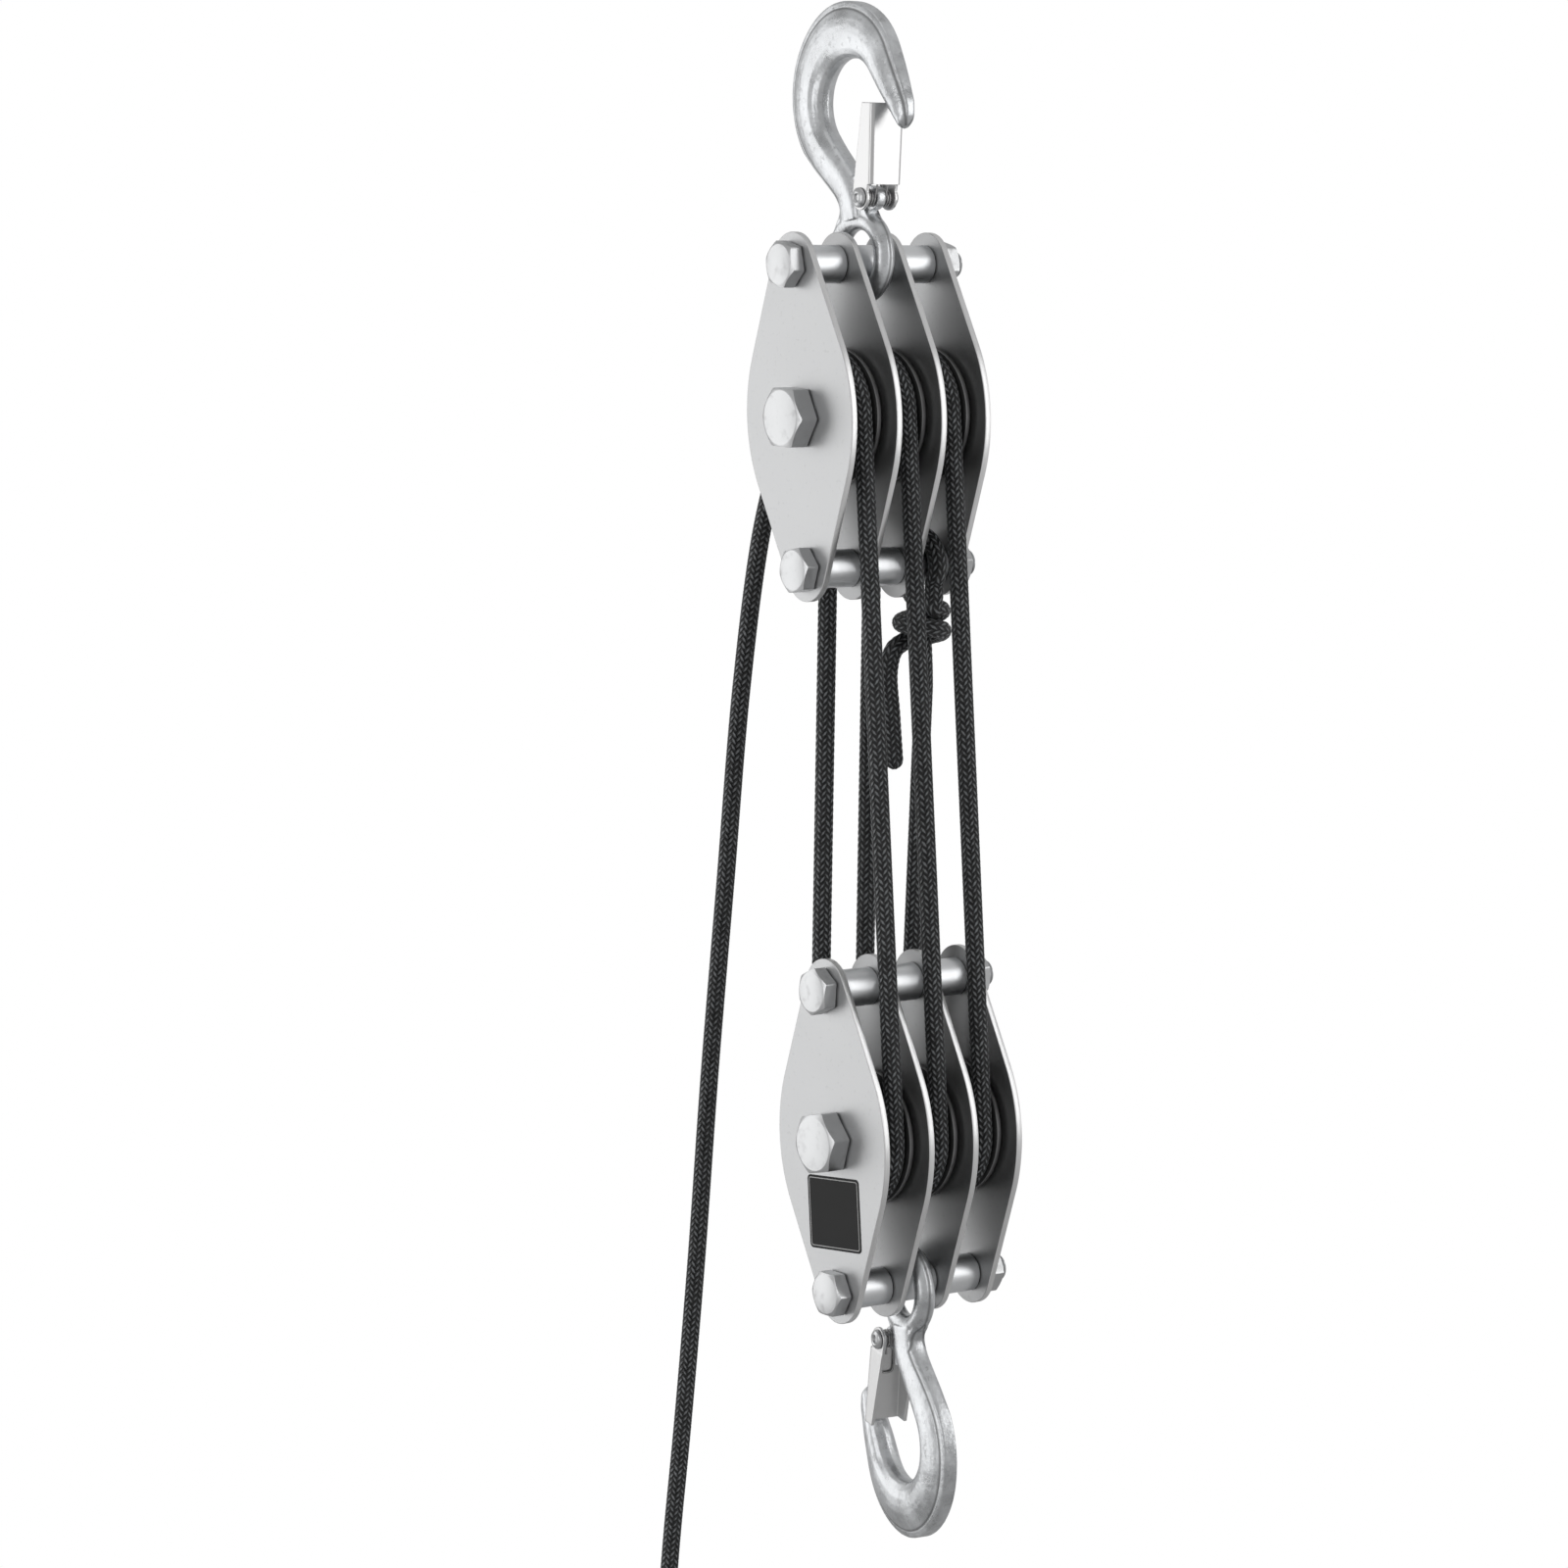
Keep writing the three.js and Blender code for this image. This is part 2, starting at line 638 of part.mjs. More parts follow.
// One block on its own axes: axle centre at zero, hook side up
function addBlock(name, z, turnedOver) {
  const group = new THREE.Group();
  group.position.set(0, 0, z);
  group.rotation.y = turnedOver ? Math.PI : 0;
  root.add(group);
  const across = (mesh, y, atZ = 0) => mesh.position.set(0, y, atZ);
  for (let i = 0; i < cheekCount; i++) {
    across(piece(group, `${name}_cheek_${i + 1}`, cheekGeometry(), 'cheek'), cheekY(i));
  }
  const tube_ = (outer, bolt) => weld(pipe(outer / 2, bolt.diameter / 2 + boreGap,
    bayWidth - 2 * seatGap, tieSides));
  for (let i = 0; i < bayCount; i++) {
    across(piece(group, `${name}_sheave_${i + 1}`, sheaveGeometry(), 'sheave'), bayY(i));
    across(piece(group, `${name}_sleeve_${i + 1}`, tube_(sleeveDiameter, axleBolt), 'bronze'),
      bayY(i));
    ['hook', 'rope'].forEach((end, k) => {
      const atZ = (k ? -1 : 1) * boltReach;
      across(piece(group, `${name}_${end}_spacer_${i + 1}`, tube_(spacerDiameter, tieBolt), 'zinc'),
        bayY(i), atZ);
    });
  }
  piece(group, `${name}_axle_bolt`, boltGeometry(axleBolt, axleSides), 'zinc');
  piece(group, `${name}_axle_nut`, nutGeometry(axleBolt, axleSides), 'zinc');
  ['hook', 'rope'].forEach((end, k) => {
    const atZ = (k ? -1 : 1) * boltReach;
    across(piece(group, `${name}_${end}_bolt`, boltGeometry(tieBolt, tieSides), 'zinc'), 0, atZ);
    across(piece(group, `${name}_${end}_nut`, nutGeometry(tieBolt, tieSides), 'zinc'), 0, atZ);
  });
}

// Stations round a sheave at the rope's orbit, by angle from +X towards +Z
function orbit(axleZ, y, fromAngle, toAngle, steps) {
  const stations = [];
  for (let i = 0; i <= steps; i++) {
    const turn = radians(lerp(fromAngle, toAngle, i / steps));
    stations.push(new THREE.Vector3(ropeOrbit * Math.cos(turn), y, axleZ + ropeOrbit * Math.sin(turn)));
  }
  return stations;
}

// Cut half a gap from the ends of a run, so that two runs meet face to face
function trimmed(stations) {
  const ends = [stations[0], stations[stations.length - 1]];
  const inwards = [stations[1], stations[stations.length - 2]];
  ends.forEach((end, i) => end.addScaledVector(
    inwards[i].clone().sub(end).normalize(),
    seatGap / 2,
  ));
  return stations;
}

// Front falls run from the top of an upper sheave down to the bottom of the lower one
function frontFall(bay) {
  const y = bayY(bay);
  const start = bay === 0 ? haulLeave : 90;
  const steps = bay === 0 ? 2 * quarterSteps : quarterSteps;
  const above = orbit(upperAxleZ, y, start, 0, steps);
  const below = orbit(lowerAxleZ, y, 0, -90, quarterSteps);
  return trimmed([...above, ...below]);
}

// Back falls cross one bay over, from the bottom of a lower sheave up to the next upper one
function backFall(bay) {
  const below = orbit(lowerAxleZ, bayY(bay), -90, -180, quarterSteps);
  const above = orbit(upperAxleZ, bayY(bay + 1), 180, 90, quarterSteps);
  return trimmed([...below, ...above]);
}

// Becket hitch: up through its own turns, over the spacer, down and round itself, then the tail
const becketZ = upperAxleZ - boltReach;
const becketY = bayY(bayCount - 1);
const hitchTopZ = becketZ - cheekEndRadius - hitchDrop;
const hitchEndZ = hitchTopZ - hitchTurns * hitchPitch;
const hitchFootZ = hitchEndZ - ropeDiameter;

function hitchStations() {
  const over = spacerDiameter / 2 + ropeRadius + grooveGap;
  const at = (x, y, z) => new THREE.Vector3(x, becketY + y, z);
  const stations = [at(0, 0, hitchFootZ), at(0, 0, hitchEndZ), at(0, 0, hitchTopZ)];
  const [back, up] = hitchRiseShares;
  stations.push(at(-over * back, 0, hitchTopZ + ropeRadius * up));
  const arcSteps = 13;
  for (let i = 0; i <= arcSteps; i++) {
    const turn = radians(lerp(hitchLoopStart, hitchLoopEnd, i / arcSteps));
    stations.push(at(over * Math.cos(turn), 0, becketZ + over * Math.sin(turn)));
  }
  const [out, down] = hitchFallShares;
  stations.push(at(hitchOrbit * out, 0, hitchTopZ + ropeRadius * down));
  const helixSteps = Math.round(hitchTurns * turnSteps);
  for (let i = 0; i <= helixSteps; i++) {
    const turn = (2 * Math.PI * hitchTurns * i) / helixSteps;
    const drop = hitchPitch * hitchTurns * (i / helixSteps);
    stations.push(at(hitchOrbit * Math.cos(turn), hitchOrbit * Math.sin(turn), hitchTopZ - drop));
  }
  const tail = smoothStations(hitchTailShares.map(([aside, across, along]) => at(
    -hitchOrbit * aside,
    -ropeDiameter * across,
    hitchEndZ - hitchTailLength * along,
  )), 8);
  return [...stations, ...tail];
}

// The last fall runs from the hitch to the back of the lower sheave in bay three
function becketFall() {
  const straight = hitchFootZ - ropeDiameter;
  const lean = THREE.MathUtils.radToDeg(Math.asin(ropeOrbit / (straight - lowerAxleZ)));
  const round = orbit(lowerAxleZ, becketY, 180 - lean, 270, quarterSteps);
  const start = [hitchFootZ - seatGap / 2, straight].map((z) => new THREE.Vector3(0, becketY, z));
  return trimmed([...start, ...round]);
}

// The hauling line's run and the stopper knot at its end
function haulStations() {
  const y = bayY(0);
  const leave = orbit(upperAxleZ, y, haulLeave, haulLeave, 1)[0];
  const run = towards(haulLeave + 90);
  const straight = new THREE.Vector3(run.x, 0, run.y);
  const route = [leave, leave.clone().addScaledVector(straight, haulStraight)];
  haulRoute.forEach(([back, below]) => route.push(new THREE.Vector3(-back, y, upperAxleZ - below)));
  const line = smoothStations(route, 26);
  const end = line[line.length - 1];
  const down = end.clone().sub(line[line.length - 2]).normalize();
  const side = new THREE.Vector3(0, 1, 0);
  const out = new THREE.Vector3().crossVectors(side, down).normalize();
  const local = (x, y_, z) => end.clone().addScaledVector(out, x).addScaledVector(side, y_)
    .addScaledVector(down, z);
  const wrapStart = stopperTurns * stopperPitch + ropeDiameter;
  const footDepth = wrapStart + ropeRadius;
  const knot = [local(0, 0, wrapStart), local(0, 0, footDepth)];
  const bendSteps = 6;
  for (let i = 1; i <= bendSteps; i++) {
    const turn = (Math.PI * i) / bendSteps;
    knot.push(local(stopperBend * (1 - Math.cos(turn)), 0, footDepth + stopperBend * Math.sin(turn)));
  }
  const wrapSteps = Math.round(stopperTurns * turnSteps);
  for (let i = 0; i <= wrapSteps; i++) {
    const turn = (2 * Math.PI * stopperTurns * i) / wrapSteps;
    const rise = stopperPitch * stopperTurns * (i / wrapSteps);
    knot.push(local(stopperOrbit * Math.cos(turn), stopperOrbit * Math.sin(turn), wrapStart - rise));
  }
  return trimmed([...line, ...knot]);
}

const upperLean = -Math.atan2(bowlOffset, bowlRise);
addHook('upper', upperEyeZ, upperLean, 0);
addBlock('upper', upperAxleZ, false);
addBlock('lower', lowerAxleZ, true);
addHook('lower', lowerEyeZ, Math.PI + radians(lowerHookLean), radians(lowerHookYaw));

const rope = (name, stations) =>
  piece(root, name, weld(tube(stations, ropeDiameter, ropeSides)), 'rope');
for (let bay = 0; bay < bayCount; bay++) {
  rope(`front_fall_${bay + 1}`, frontFall(bay));
}
for (let bay = 0; bay < bayCount - 1; bay++) {
  rope(`back_fall_${bay + 1}`, backFall(bay));
}
rope(`back_fall_${bayCount}`, becketFall());
const hitch = hitchStations();
rope('becket_hitch', hitch);
console.log('becket_hitch least gap to itself', selfGap(hitch, ropeDiameter).toFixed(2));
const haul = haulStations();
rope('hauling_line', haul);
console.log('hauling_line least gap to itself', selfGap(haul, ropeDiameter).toFixed(2));

export default root;
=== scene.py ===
# %% [markdown]
# A block and tackle hangs from a beam by its upper hook. Two blocks of three sheaves share one
# braided rope, and a person hauls on the line that leaves the upper block. The rigid parts come
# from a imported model, the frame. This lesson dresses each of them with a finer mesh in its place.

# %% Load the frame
import math

import bmesh
import bpy
import numpy as np
from mathutils import Matrix, Vector
from mathutils.bvhtree import BVHTree
from mathutils.kdtree import KDTree


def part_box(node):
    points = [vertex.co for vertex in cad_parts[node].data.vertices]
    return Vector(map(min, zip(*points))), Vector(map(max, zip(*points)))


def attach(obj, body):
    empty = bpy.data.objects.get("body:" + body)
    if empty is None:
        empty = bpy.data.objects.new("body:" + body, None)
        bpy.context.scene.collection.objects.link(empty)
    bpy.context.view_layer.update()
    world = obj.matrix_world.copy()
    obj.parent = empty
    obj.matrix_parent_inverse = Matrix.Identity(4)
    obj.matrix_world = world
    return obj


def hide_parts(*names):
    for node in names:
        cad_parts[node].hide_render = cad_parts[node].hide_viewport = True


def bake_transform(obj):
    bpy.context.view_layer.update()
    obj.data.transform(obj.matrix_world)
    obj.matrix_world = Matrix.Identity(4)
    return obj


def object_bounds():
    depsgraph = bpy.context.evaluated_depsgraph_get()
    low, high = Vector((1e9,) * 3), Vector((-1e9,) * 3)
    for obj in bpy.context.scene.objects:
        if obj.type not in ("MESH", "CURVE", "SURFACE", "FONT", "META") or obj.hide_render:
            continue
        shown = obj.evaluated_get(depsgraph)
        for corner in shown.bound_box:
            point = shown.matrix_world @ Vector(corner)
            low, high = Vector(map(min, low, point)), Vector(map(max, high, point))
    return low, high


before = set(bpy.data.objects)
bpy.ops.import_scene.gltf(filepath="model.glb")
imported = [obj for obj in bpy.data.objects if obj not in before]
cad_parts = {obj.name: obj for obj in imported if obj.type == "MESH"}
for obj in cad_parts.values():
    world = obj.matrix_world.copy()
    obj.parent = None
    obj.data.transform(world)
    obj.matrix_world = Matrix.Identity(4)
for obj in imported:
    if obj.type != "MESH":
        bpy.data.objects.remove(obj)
cad_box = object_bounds()
MM = 0.001

# %% [markdown]
# Every size below is the real part's, in millimetres. The levels of the two axles are read from
# the sheaves of the frame, so the dressing follows the model if the blocks move apart.

# %% Sizes from the frame
def middle(node):
    low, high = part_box(node)
    return (low + high) / (2 * MM)


UPPER_AXLE = middle("upper_sheave_2").z
LOWER_AXLE = middle("lower_sheave_2").z
BAY_PITCH = middle("upper_sheave_3").y - middle("upper_sheave_2").y
BOLT_REACH = middle("upper_hook_spacer_2").z - UPPER_AXLE
PLATE = (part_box("upper_cheek_1")[1].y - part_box("upper_cheek_1")[0].y) / MM
BAY = BAY_PITCH - PLATE
STACK_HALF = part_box("upper_cheek_4")[1].y / MM
SEAT_GAP = 0.3
ROPE = 10.0
ROPE_ORBIT = 33.0
BAYS = [-BAY_PITCH, 0.0, BAY_PITCH]
PLATES = [(i - 1.5) * BAY_PITCH for i in range(4)]
EYE_SAG = 3.7
UPPER_EYE = UPPER_AXLE + BOLT_REACH + EYE_SAG
LOWER_EYE = LOWER_AXLE - BOLT_REACH - EYE_SAG
print("axles at", round(UPPER_AXLE, 1), round(LOWER_AXLE, 1), "bay pitch", round(BAY_PITCH, 2))

# %% [markdown]
# The camera stands two and a half metres off, a little above the middle, with a long lens and a
# small roll, as a product photograph is often taken. It comes first, because the hauling line
# has to end outside its view.

# %% Camera
AZIMUTH, ELEVATION, ROLL = 53.7, 2.6, -2.6
DISTANCE, LENS, SENSOR = 2.47, 108.0, 36.0
TARGET_ACROSS, TARGET_HEIGHT = -0.0529, -0.3765


def put(name, data):
    """A new object in the scene that holds a mesh, curve, camera or lamp."""
    made = bpy.data.objects.new(name, data)
    bpy.context.scene.collection.objects.link(made)
    return made


def way_to(azimuth, elevation):
    """The direction from the tackle to something that stands round it, from degrees."""
    a, e = math.radians(azimuth), math.radians(elevation)
    return Vector((math.sin(a) * math.cos(e), -math.cos(a) * math.cos(e), math.sin(e)))


def add_camera():
    back, right = way_to(AZIMUTH, ELEVATION), way_to(AZIMUTH + 90, 0)
    data = bpy.data.cameras.new("camera")
    data.lens, data.sensor_width, data.sensor_height = LENS, SENSOR, SENSOR
    data.sensor_fit = "HORIZONTAL"
    camera = put("camera", data)
    place = right * TARGET_ACROSS + Vector((0, 0, TARGET_HEIGHT)) + back * DISTANCE
    look = Matrix((right, back.cross(right), back)).transposed().to_4x4()
    camera.matrix_world = (Matrix.Translation(place) @ look
                           @ Matrix.Rotation(math.radians(ROLL), 4, "Z"))
    bpy.context.scene.camera = camera
    return camera


camera = add_camera()
bpy.context.scene.view_settings.view_transform = "Standard"
print("camera at", [round(v, 3) for v in camera.location])

# %% [markdown]
# Node trees are easier to read as sums. A small class wraps a socket, and its operators add the
# Math nodes. One method adds any other node: its sockets come first, then its settings.

# %% Node trees written as sums
class Value:
    """A socket in a tree. Arithmetic on it adds Math nodes."""

    def __init__(self, graph, socket):
        self.graph, self.socket = graph, socket

    def __add__(self, other):
        return self.graph.maths("ADD", self, other)

    def __radd__(self, other):
        return self.graph.maths("ADD", other, self)

    def __sub__(self, other):
        return self.graph.maths("SUBTRACT", self, other)

    def __rsub__(self, other):
        return self.graph.maths("SUBTRACT", other, self)

    def __mul__(self, other):
        return self.graph.maths("MULTIPLY", self, other)

    def __truediv__(self, other):
        return self.graph.maths("DIVIDE", self, other)


class Graph:
    """A node tree of either kind, with one method that adds a node."""

    def __init__(self, tree):
        self.tree = tree

    def plug(self, socket, value):
        if isinstance(value, Value):
            self.tree.links.new(value.socket, socket)
        else:
            socket.default_value = value

    def node(self, kind, sockets=None, out=0, **settings):
        made = self.tree.nodes.new(kind)
        for name, value in settings.items():
            setattr(made, name, value)
        for key, value in (sockets or {}).items():
            self.plug(made.inputs[key], value)
        return Value(self, made.outputs[out])

    def maths(self, operation, *values):
        return self.node("ShaderNodeMath", dict(enumerate(values)), operation=operation)

    def noise(self, place, scale, detail=3.0, rough=0.55):
        return self.node("ShaderNodeTexNoise", {
            "Vector": place, "Scale": scale, "Detail": detail, "Roughness": rough})

    def ramp(self, factor, none, full):
        """0 where the factor is at the first level, 1 at the second, and straight between."""
        return self.node("ShaderNodeMapRange", {
            "Value": factor, "From Min": none, "From Max": full})

    def mix(self, factor, first, second):
        return self.node("ShaderNodeMix", {0: factor, 6: first, 7: second}, 2, data_type="RGBA")


def grey(shade, tint=0.0):
    return (shade, shade * (1 + tint), shade * (1 + 2 * tint), 1)


print("helpers ready")

# %% [markdown]
# The rope is a plait of twenty-four strands, twelve each way, and each goes over two and under
# two, so that slanting stitches stand in columns and make V shapes. One function works that out
# from the turn round the rope and the length along it, for the mesh and for the finish alike.

# %% The weave of the rope, in both kinds of tree
STRANDS_EACH_WAY, STITCH_PITCH = 12, 3.5


def weave(graph, turn, along):
    """Height of the upper strand, a number for its stitch, and the places across and along it."""
    one = turn * STRANDS_EACH_WAY + along * (1 / STITCH_PITCH)
    two = turn * STRANDS_EACH_WAY - along * (1 / STITCH_PITCH)
    lower_one, lower_two = graph.maths("FLOOR", one), graph.maths("FLOOR", two)
    total = lower_one + lower_two
    column = graph.maths("FLOORED_MODULO", total, 4.0)
    second = graph.maths("GREATER_THAN", column, 1.5)

    def pick(first_value, second_value):
        return first_value + (second_value - first_value) * second

    def ridge(share):
        centred = share * 2 - 1
        return graph.maths("SQRT", graph.maths("MAXIMUM", 1 - centred * centred, 0.0))

    rest_one, rest_two = one - lower_one, two - lower_two
    across = pick(rest_one, rest_two)
    lengthways = pick((column + rest_two) / 2, (column - 2 + rest_one) / 2)
    height = ridge(across) * (0.35 + ridge(lengthways) * 0.65)
    stitch = pick(lower_one, lower_two) * 12.99 + (total - column) * 19.56
    tone = graph.maths("FRACT", graph.maths("ABSOLUTE", graph.maths("SINE", stitch)) * 97.3)
    return height, tone, across, lengthways


print("weave of", 2 * STRANDS_EACH_WAY, "strands, a stitch every", STITCH_PITCH, "mm")

# %% [markdown]
# Each finish is one function that reads the place on the object, mixes noises into colour and
# roughness, and makes a small bump. Everything that changes over a surface goes into Base Color,
# Roughness or Normal, because those survive when the finish is baked.

# %% A finish from colour, roughness and height
def finish(name, build):
    material = bpy.data.materials.new(name)
    material.use_nodes = True
    tree = material.node_tree
    graph = Graph(tree)
    looks = build(graph, graph.node("ShaderNodeTexCoord", out="Object"))
    if "bump" in looks:
        strength, distance = looks.pop("bump")
        looks["Normal"] = graph.node("ShaderNodeBump", {
            "Strength": strength, "Distance": distance, "Height": looks.pop("height")})
    for socket, value in looks.items():
        graph.plug(tree.nodes["Principled BSDF"].inputs[socket], value)
    return material


def clouded(first, second, cloud, metallic, rough, relief=None, bump=None, stretch=None, **more):
    """A finish of two tones. The noise that mixes them varies the roughness as well.

    cloud and relief are the scale and detail of a noise, and rough is the least and the gain.
    """
    def build(graph, place):
        if stretch:
            place = graph.node("ShaderNodeMapping", {"Vector": place, "Scale": stretch})
        blotch = graph.noise(place, *cloud)
        looks = {"Base Color": graph.mix(blotch, first, second), "Metallic": metallic,
                 "Roughness": rough[0] + blotch * rough[1], **more}
        if bump:
            looks |= {"height": graph.noise(place, *relief) if relief else blotch, "bump": bump}
        return looks
    return build


CLOUDED = {
    "cut_edge": clouded(grey(0.7), grey(0.9), (1.0, 3.0), 0.8, (0.24, 0.2), None,
                        (0.25, 0.0003), (60.0, 900.0, 60.0)),
    "latch_sheet": clouded(grey(0.68), grey(0.78), (45.0, 3.0), 0.8, (0.26, 0.1),
                           (800.0, 2.0), (0.08, 0.0002)),
    "dark_sheave": clouded(grey(0.035), grey(0.08), (90.0, 4.0), 0.8, (0.24, 0.18),
                           (900.0, 2.0), (0.15, 0.0003)),
    # Sheave rims: real wear with a painted highlight on it, lighter than the body.
    "worn_rim": clouded(grey(0.2), grey(0.46), (120.0, 5.0), 0.9, (0.24, 0.2), None,
                        (0.12, 0.0003)),
    "bronze": clouded((0.42, 0.27, 0.11, 1), (0.6, 0.42, 0.2, 1), (80.0, 4.0), 1.0, (0.3, 0.15)),
    "spring_wire": clouded(grey(0.25), grey(0.5), (300.0, 3.0), 1.0, (0.2, 0.2)),
    "label_ink": clouded(grey(0.01), grey(0.016), (70.0, 3.0), 0.0, (0.38, 0.1),
                         **{"Specular IOR Level": 0.15}),
    "label_line": clouded(grey(0.62), grey(0.72), (200.0, 3.0), 0.0, (0.4, 0.1))}


def plate_face(graph, place, dark=0.51, light=0.58):
    cloud = graph.noise(place, 28.0, 4.0)
    grain = graph.noise(place, 900.0, 2.0)
    speck = graph.ramp(graph.noise(place, 420.0, 2.0), 0.62, 0.72)
    tone = graph.mix(cloud, grey(dark, 0.008), grey(light, 0.008))
    return {
        "Base Color": graph.mix(speck * 0.25, tone, grey(0.75 * dark)), "Metallic": 0.95,
        "Roughness": 0.34 + cloud * 0.12 + grain * 0.06,
        "height": grain * 0.4 + cloud, "bump": (0.12, 0.0004)}


def shaded_plate_face(graph, place):
    """Painted shade: a darker copy of the plate face for the sides of the plates that face a
    sheave, which lie in shade between the plates.
    """
    return plate_face(graph, place, 0.38, 0.45)


def bright_zinc(graph, place):
    cloud = graph.noise(place, 60.0, 4.0)
    stain = graph.ramp(graph.noise(place, 150.0, 5.0), 0.55, 0.75)
    tone = graph.mix(cloud, grey(0.52, 0.01), grey(0.66, 0.01))
    return {
        "Base Color": graph.mix(stain * 0.4, tone, grey(0.34)), "Metallic": 0.95,
        "Roughness": 0.26 + cloud * 0.13 + stain * 0.1,
        "height": graph.noise(place, 700.0, 3.0), "bump": (0.1, 0.0003)}


def spacer_steel(graph, place):
    lines = graph.node("ShaderNodeMapping", {"Vector": place, "Scale": (30.0, 1400.0, 30.0)})
    turned = graph.noise(lines, 1.0, 2.0)
    cloud = graph.noise(place, 50.0, 3.0)
    return {
        "Base Color": graph.mix(cloud, grey(0.78, 0.015), grey(0.9, 0.015)), "Metallic": 1.0,
        "Roughness": 0.34 + turned * 0.12, "height": turned, "bump": (0.08, 0.0002)}


def forged_zinc(graph, place):
    """Hot-dip zinc on a forging, with drag marks and a darker parting line."""
    cloud = graph.ramp(graph.noise(place, 55.0, 6.0, 0.62), 0.3, 0.7)
    grain = graph.noise(place, 480.0, 4.0)
    drag = graph.noise(graph.node("ShaderNodeMapping", {
        "Vector": place, "Rotation": (0.0, 0.5, 0.0), "Scale": (420.0, 420.0, 60.0)}), 1.0, 3.0)
    spots = graph.ramp(graph.noise(place, 210.0, 5.0, 0.7), 0.56, 0.7)
    seam = graph.node("ShaderNodeAttribute", out="Fac", attribute_name="seam")
    tone = graph.mix(cloud, grey(0.5, 0.02), grey(0.84, 0.02))
    tone = graph.mix(spots * 0.5, tone, grey(0.28))
    return {
        "Base Color": graph.mix(seam * 0.75, tone, grey(0.09)), "Metallic": 0.9,
        "Roughness": 0.22 + cloud * 0.2 + spots * 0.12 + seam * 0.3,
        "height": cloud * 0.8 + grain * 0.5 + drag * 0.4 - seam * 1.6, "bump": (0.34, 0.0007)}


def braid(graph, place):
    """Black yarn. Each stitch's crest gets a painted glint in its colour and a lower roughness, and
    the gaps between strands get painted shade.
    """
    spots = graph.node("ShaderNodeAttribute", out="Vector", attribute_name="weave")
    x, y, along = (graph.node("ShaderNodeSeparateXYZ", {0: spots}, k) for k in range(3))
    turn = graph.maths("ARCTAN2", y, x) / (2 * math.pi) + 2
    height, tone, across, lengthways = weave(graph, turn, along)
    fuzz = graph.noise(place, 1900.0, 2.0)
    dusty = graph.noise(place, 75.0, 3.0)
    filament = graph.maths("SINE", across * 34 + fuzz * 5) * 0.5 + 0.5
    crest = 1 - graph.maths("ABSOLUTE", across * 2 - 0.9)
    middle_part = 1 - graph.maths("ABSOLUTE", lengthways * 2 - 1)
    # Painted glint: a mask on the middle of each stitch's crest that lightens its colour and lowers
    # its roughness.
    painted_glint = graph.ramp(crest * 0.62 + middle_part * 0.4 + tone * 0.16 + fuzz * 0.12, 0.74, 1.0)
    yarn = graph.mix(tone, grey(0.007, 0.08), grey(0.018, 0.08))
    yarn = graph.mix(painted_glint, yarn, grey(0.3, 0.05))
    return {
        # Painted shade: the colour goes nearly black where the strand is low, in the gaps between
        # strands.
        "Base Color": graph.mix(graph.ramp(height, 0.62, 0.3), yarn, grey(0.001)),
        "Roughness": 0.4 - painted_glint * 0.16 + dusty * 0.08, "Specular IOR Level": 0.7,
        "height": height + filament * 0.12 + fuzz * 0.1, "bump": (1.0, 0.0009)}


BUILDS = CLOUDED | {build.__name__: build for build in (
    plate_face, shaded_plate_face, bright_zinc, spacer_steel, forged_zinc, braid)}
FINISHES = {name: finish(name, build) for name, build in BUILDS.items()}
print("finishes", ", ".join(FINISHES))

# %% [markdown]
# A mesh piece is a list of rings with faces skinned between them. A ring of one point is a pole.
# Each piece is written about its own centre in millimetres, and its place goes into its mesh,
# so that its object stays at the origin, as the frame's own objects do.

# %% Rings, skins and pieces
WELD = 0.0005


def skin(rings, loop=False):
    """Points and faces of the surface through rings. A loop joins the last ring to the first."""
    points, starts = [], []
    for ring in rings:
        starts.append(len(points))
        points.extend(ring)
    faces = []
    for one in range(len(rings) if loop else len(rings) - 1):
        two = (one + 1) % len(rings)
        size = max(len(rings[one]), len(rings[two]))
        for i in range(size):
            j = (i + 1) % size
            corners = []
            for ring, order in ((one, (i, j)), (two, (j, i))):
                pole = len(rings[ring]) == 1
                corners += [starts[ring]] if pole else [starts[ring] + k for k in order]
            faces.append(corners)
    return points, faces


def turned(spot_at, segments):
    """A ring about Y. spot_at gives its radius and its Y at each share of a turn."""
    ring = []
    for i in range(segments):
        radius, y = spot_at(i / segments)
        angle = 2 * math.pi * i / segments
        ring.append((radius * math.sin(angle), y, radius * math.cos(angle)))
    return ring


def circle(radius, y, segments):
    return turned(lambda turn: (radius, y), segments) if radius > 0 else [(0.0, y, 0.0)]


def revolve(profile, segments=96, loop=False):
    return skin([circle(r, y, segments) for r, y in profile], loop)


def arc(x, z, radius, start, sweep, steps):
    return [(x + radius * math.cos(start + sweep * i / steps),
             z + radius * math.sin(start + sweep * i / steps)) for i in range(steps + 1)]


def clean_mesh(name, shells, slots=None):
    """One mesh from shells: welded, with a finish slot for each face, or cut into triangles."""
    points, faces = [], []
    for shell_points, shell_faces in shells:
        start = len(points)
        points += [tuple(p) for p in shell_points]
        faces += [[i + start for i in face] for face in shell_faces]
    mesh = bpy.data.meshes.new(name)
    mesh.from_pydata(points, [], faces)
    shape = bmesh.new()
    shape.from_mesh(mesh)
    if slots:
        for face, slot in zip(shape.faces, slots):
            face.material_index = slot
        bmesh.ops.remove_doubles(shape, verts=shape.verts, dist=WELD)
    else:
        bmesh.ops.triangulate(shape, faces=shape.faces)
    bmesh.ops.recalc_face_normals(shape, faces=shape.faces)
    shape.to_mesh(mesh)
    shape.free()
    return mesh


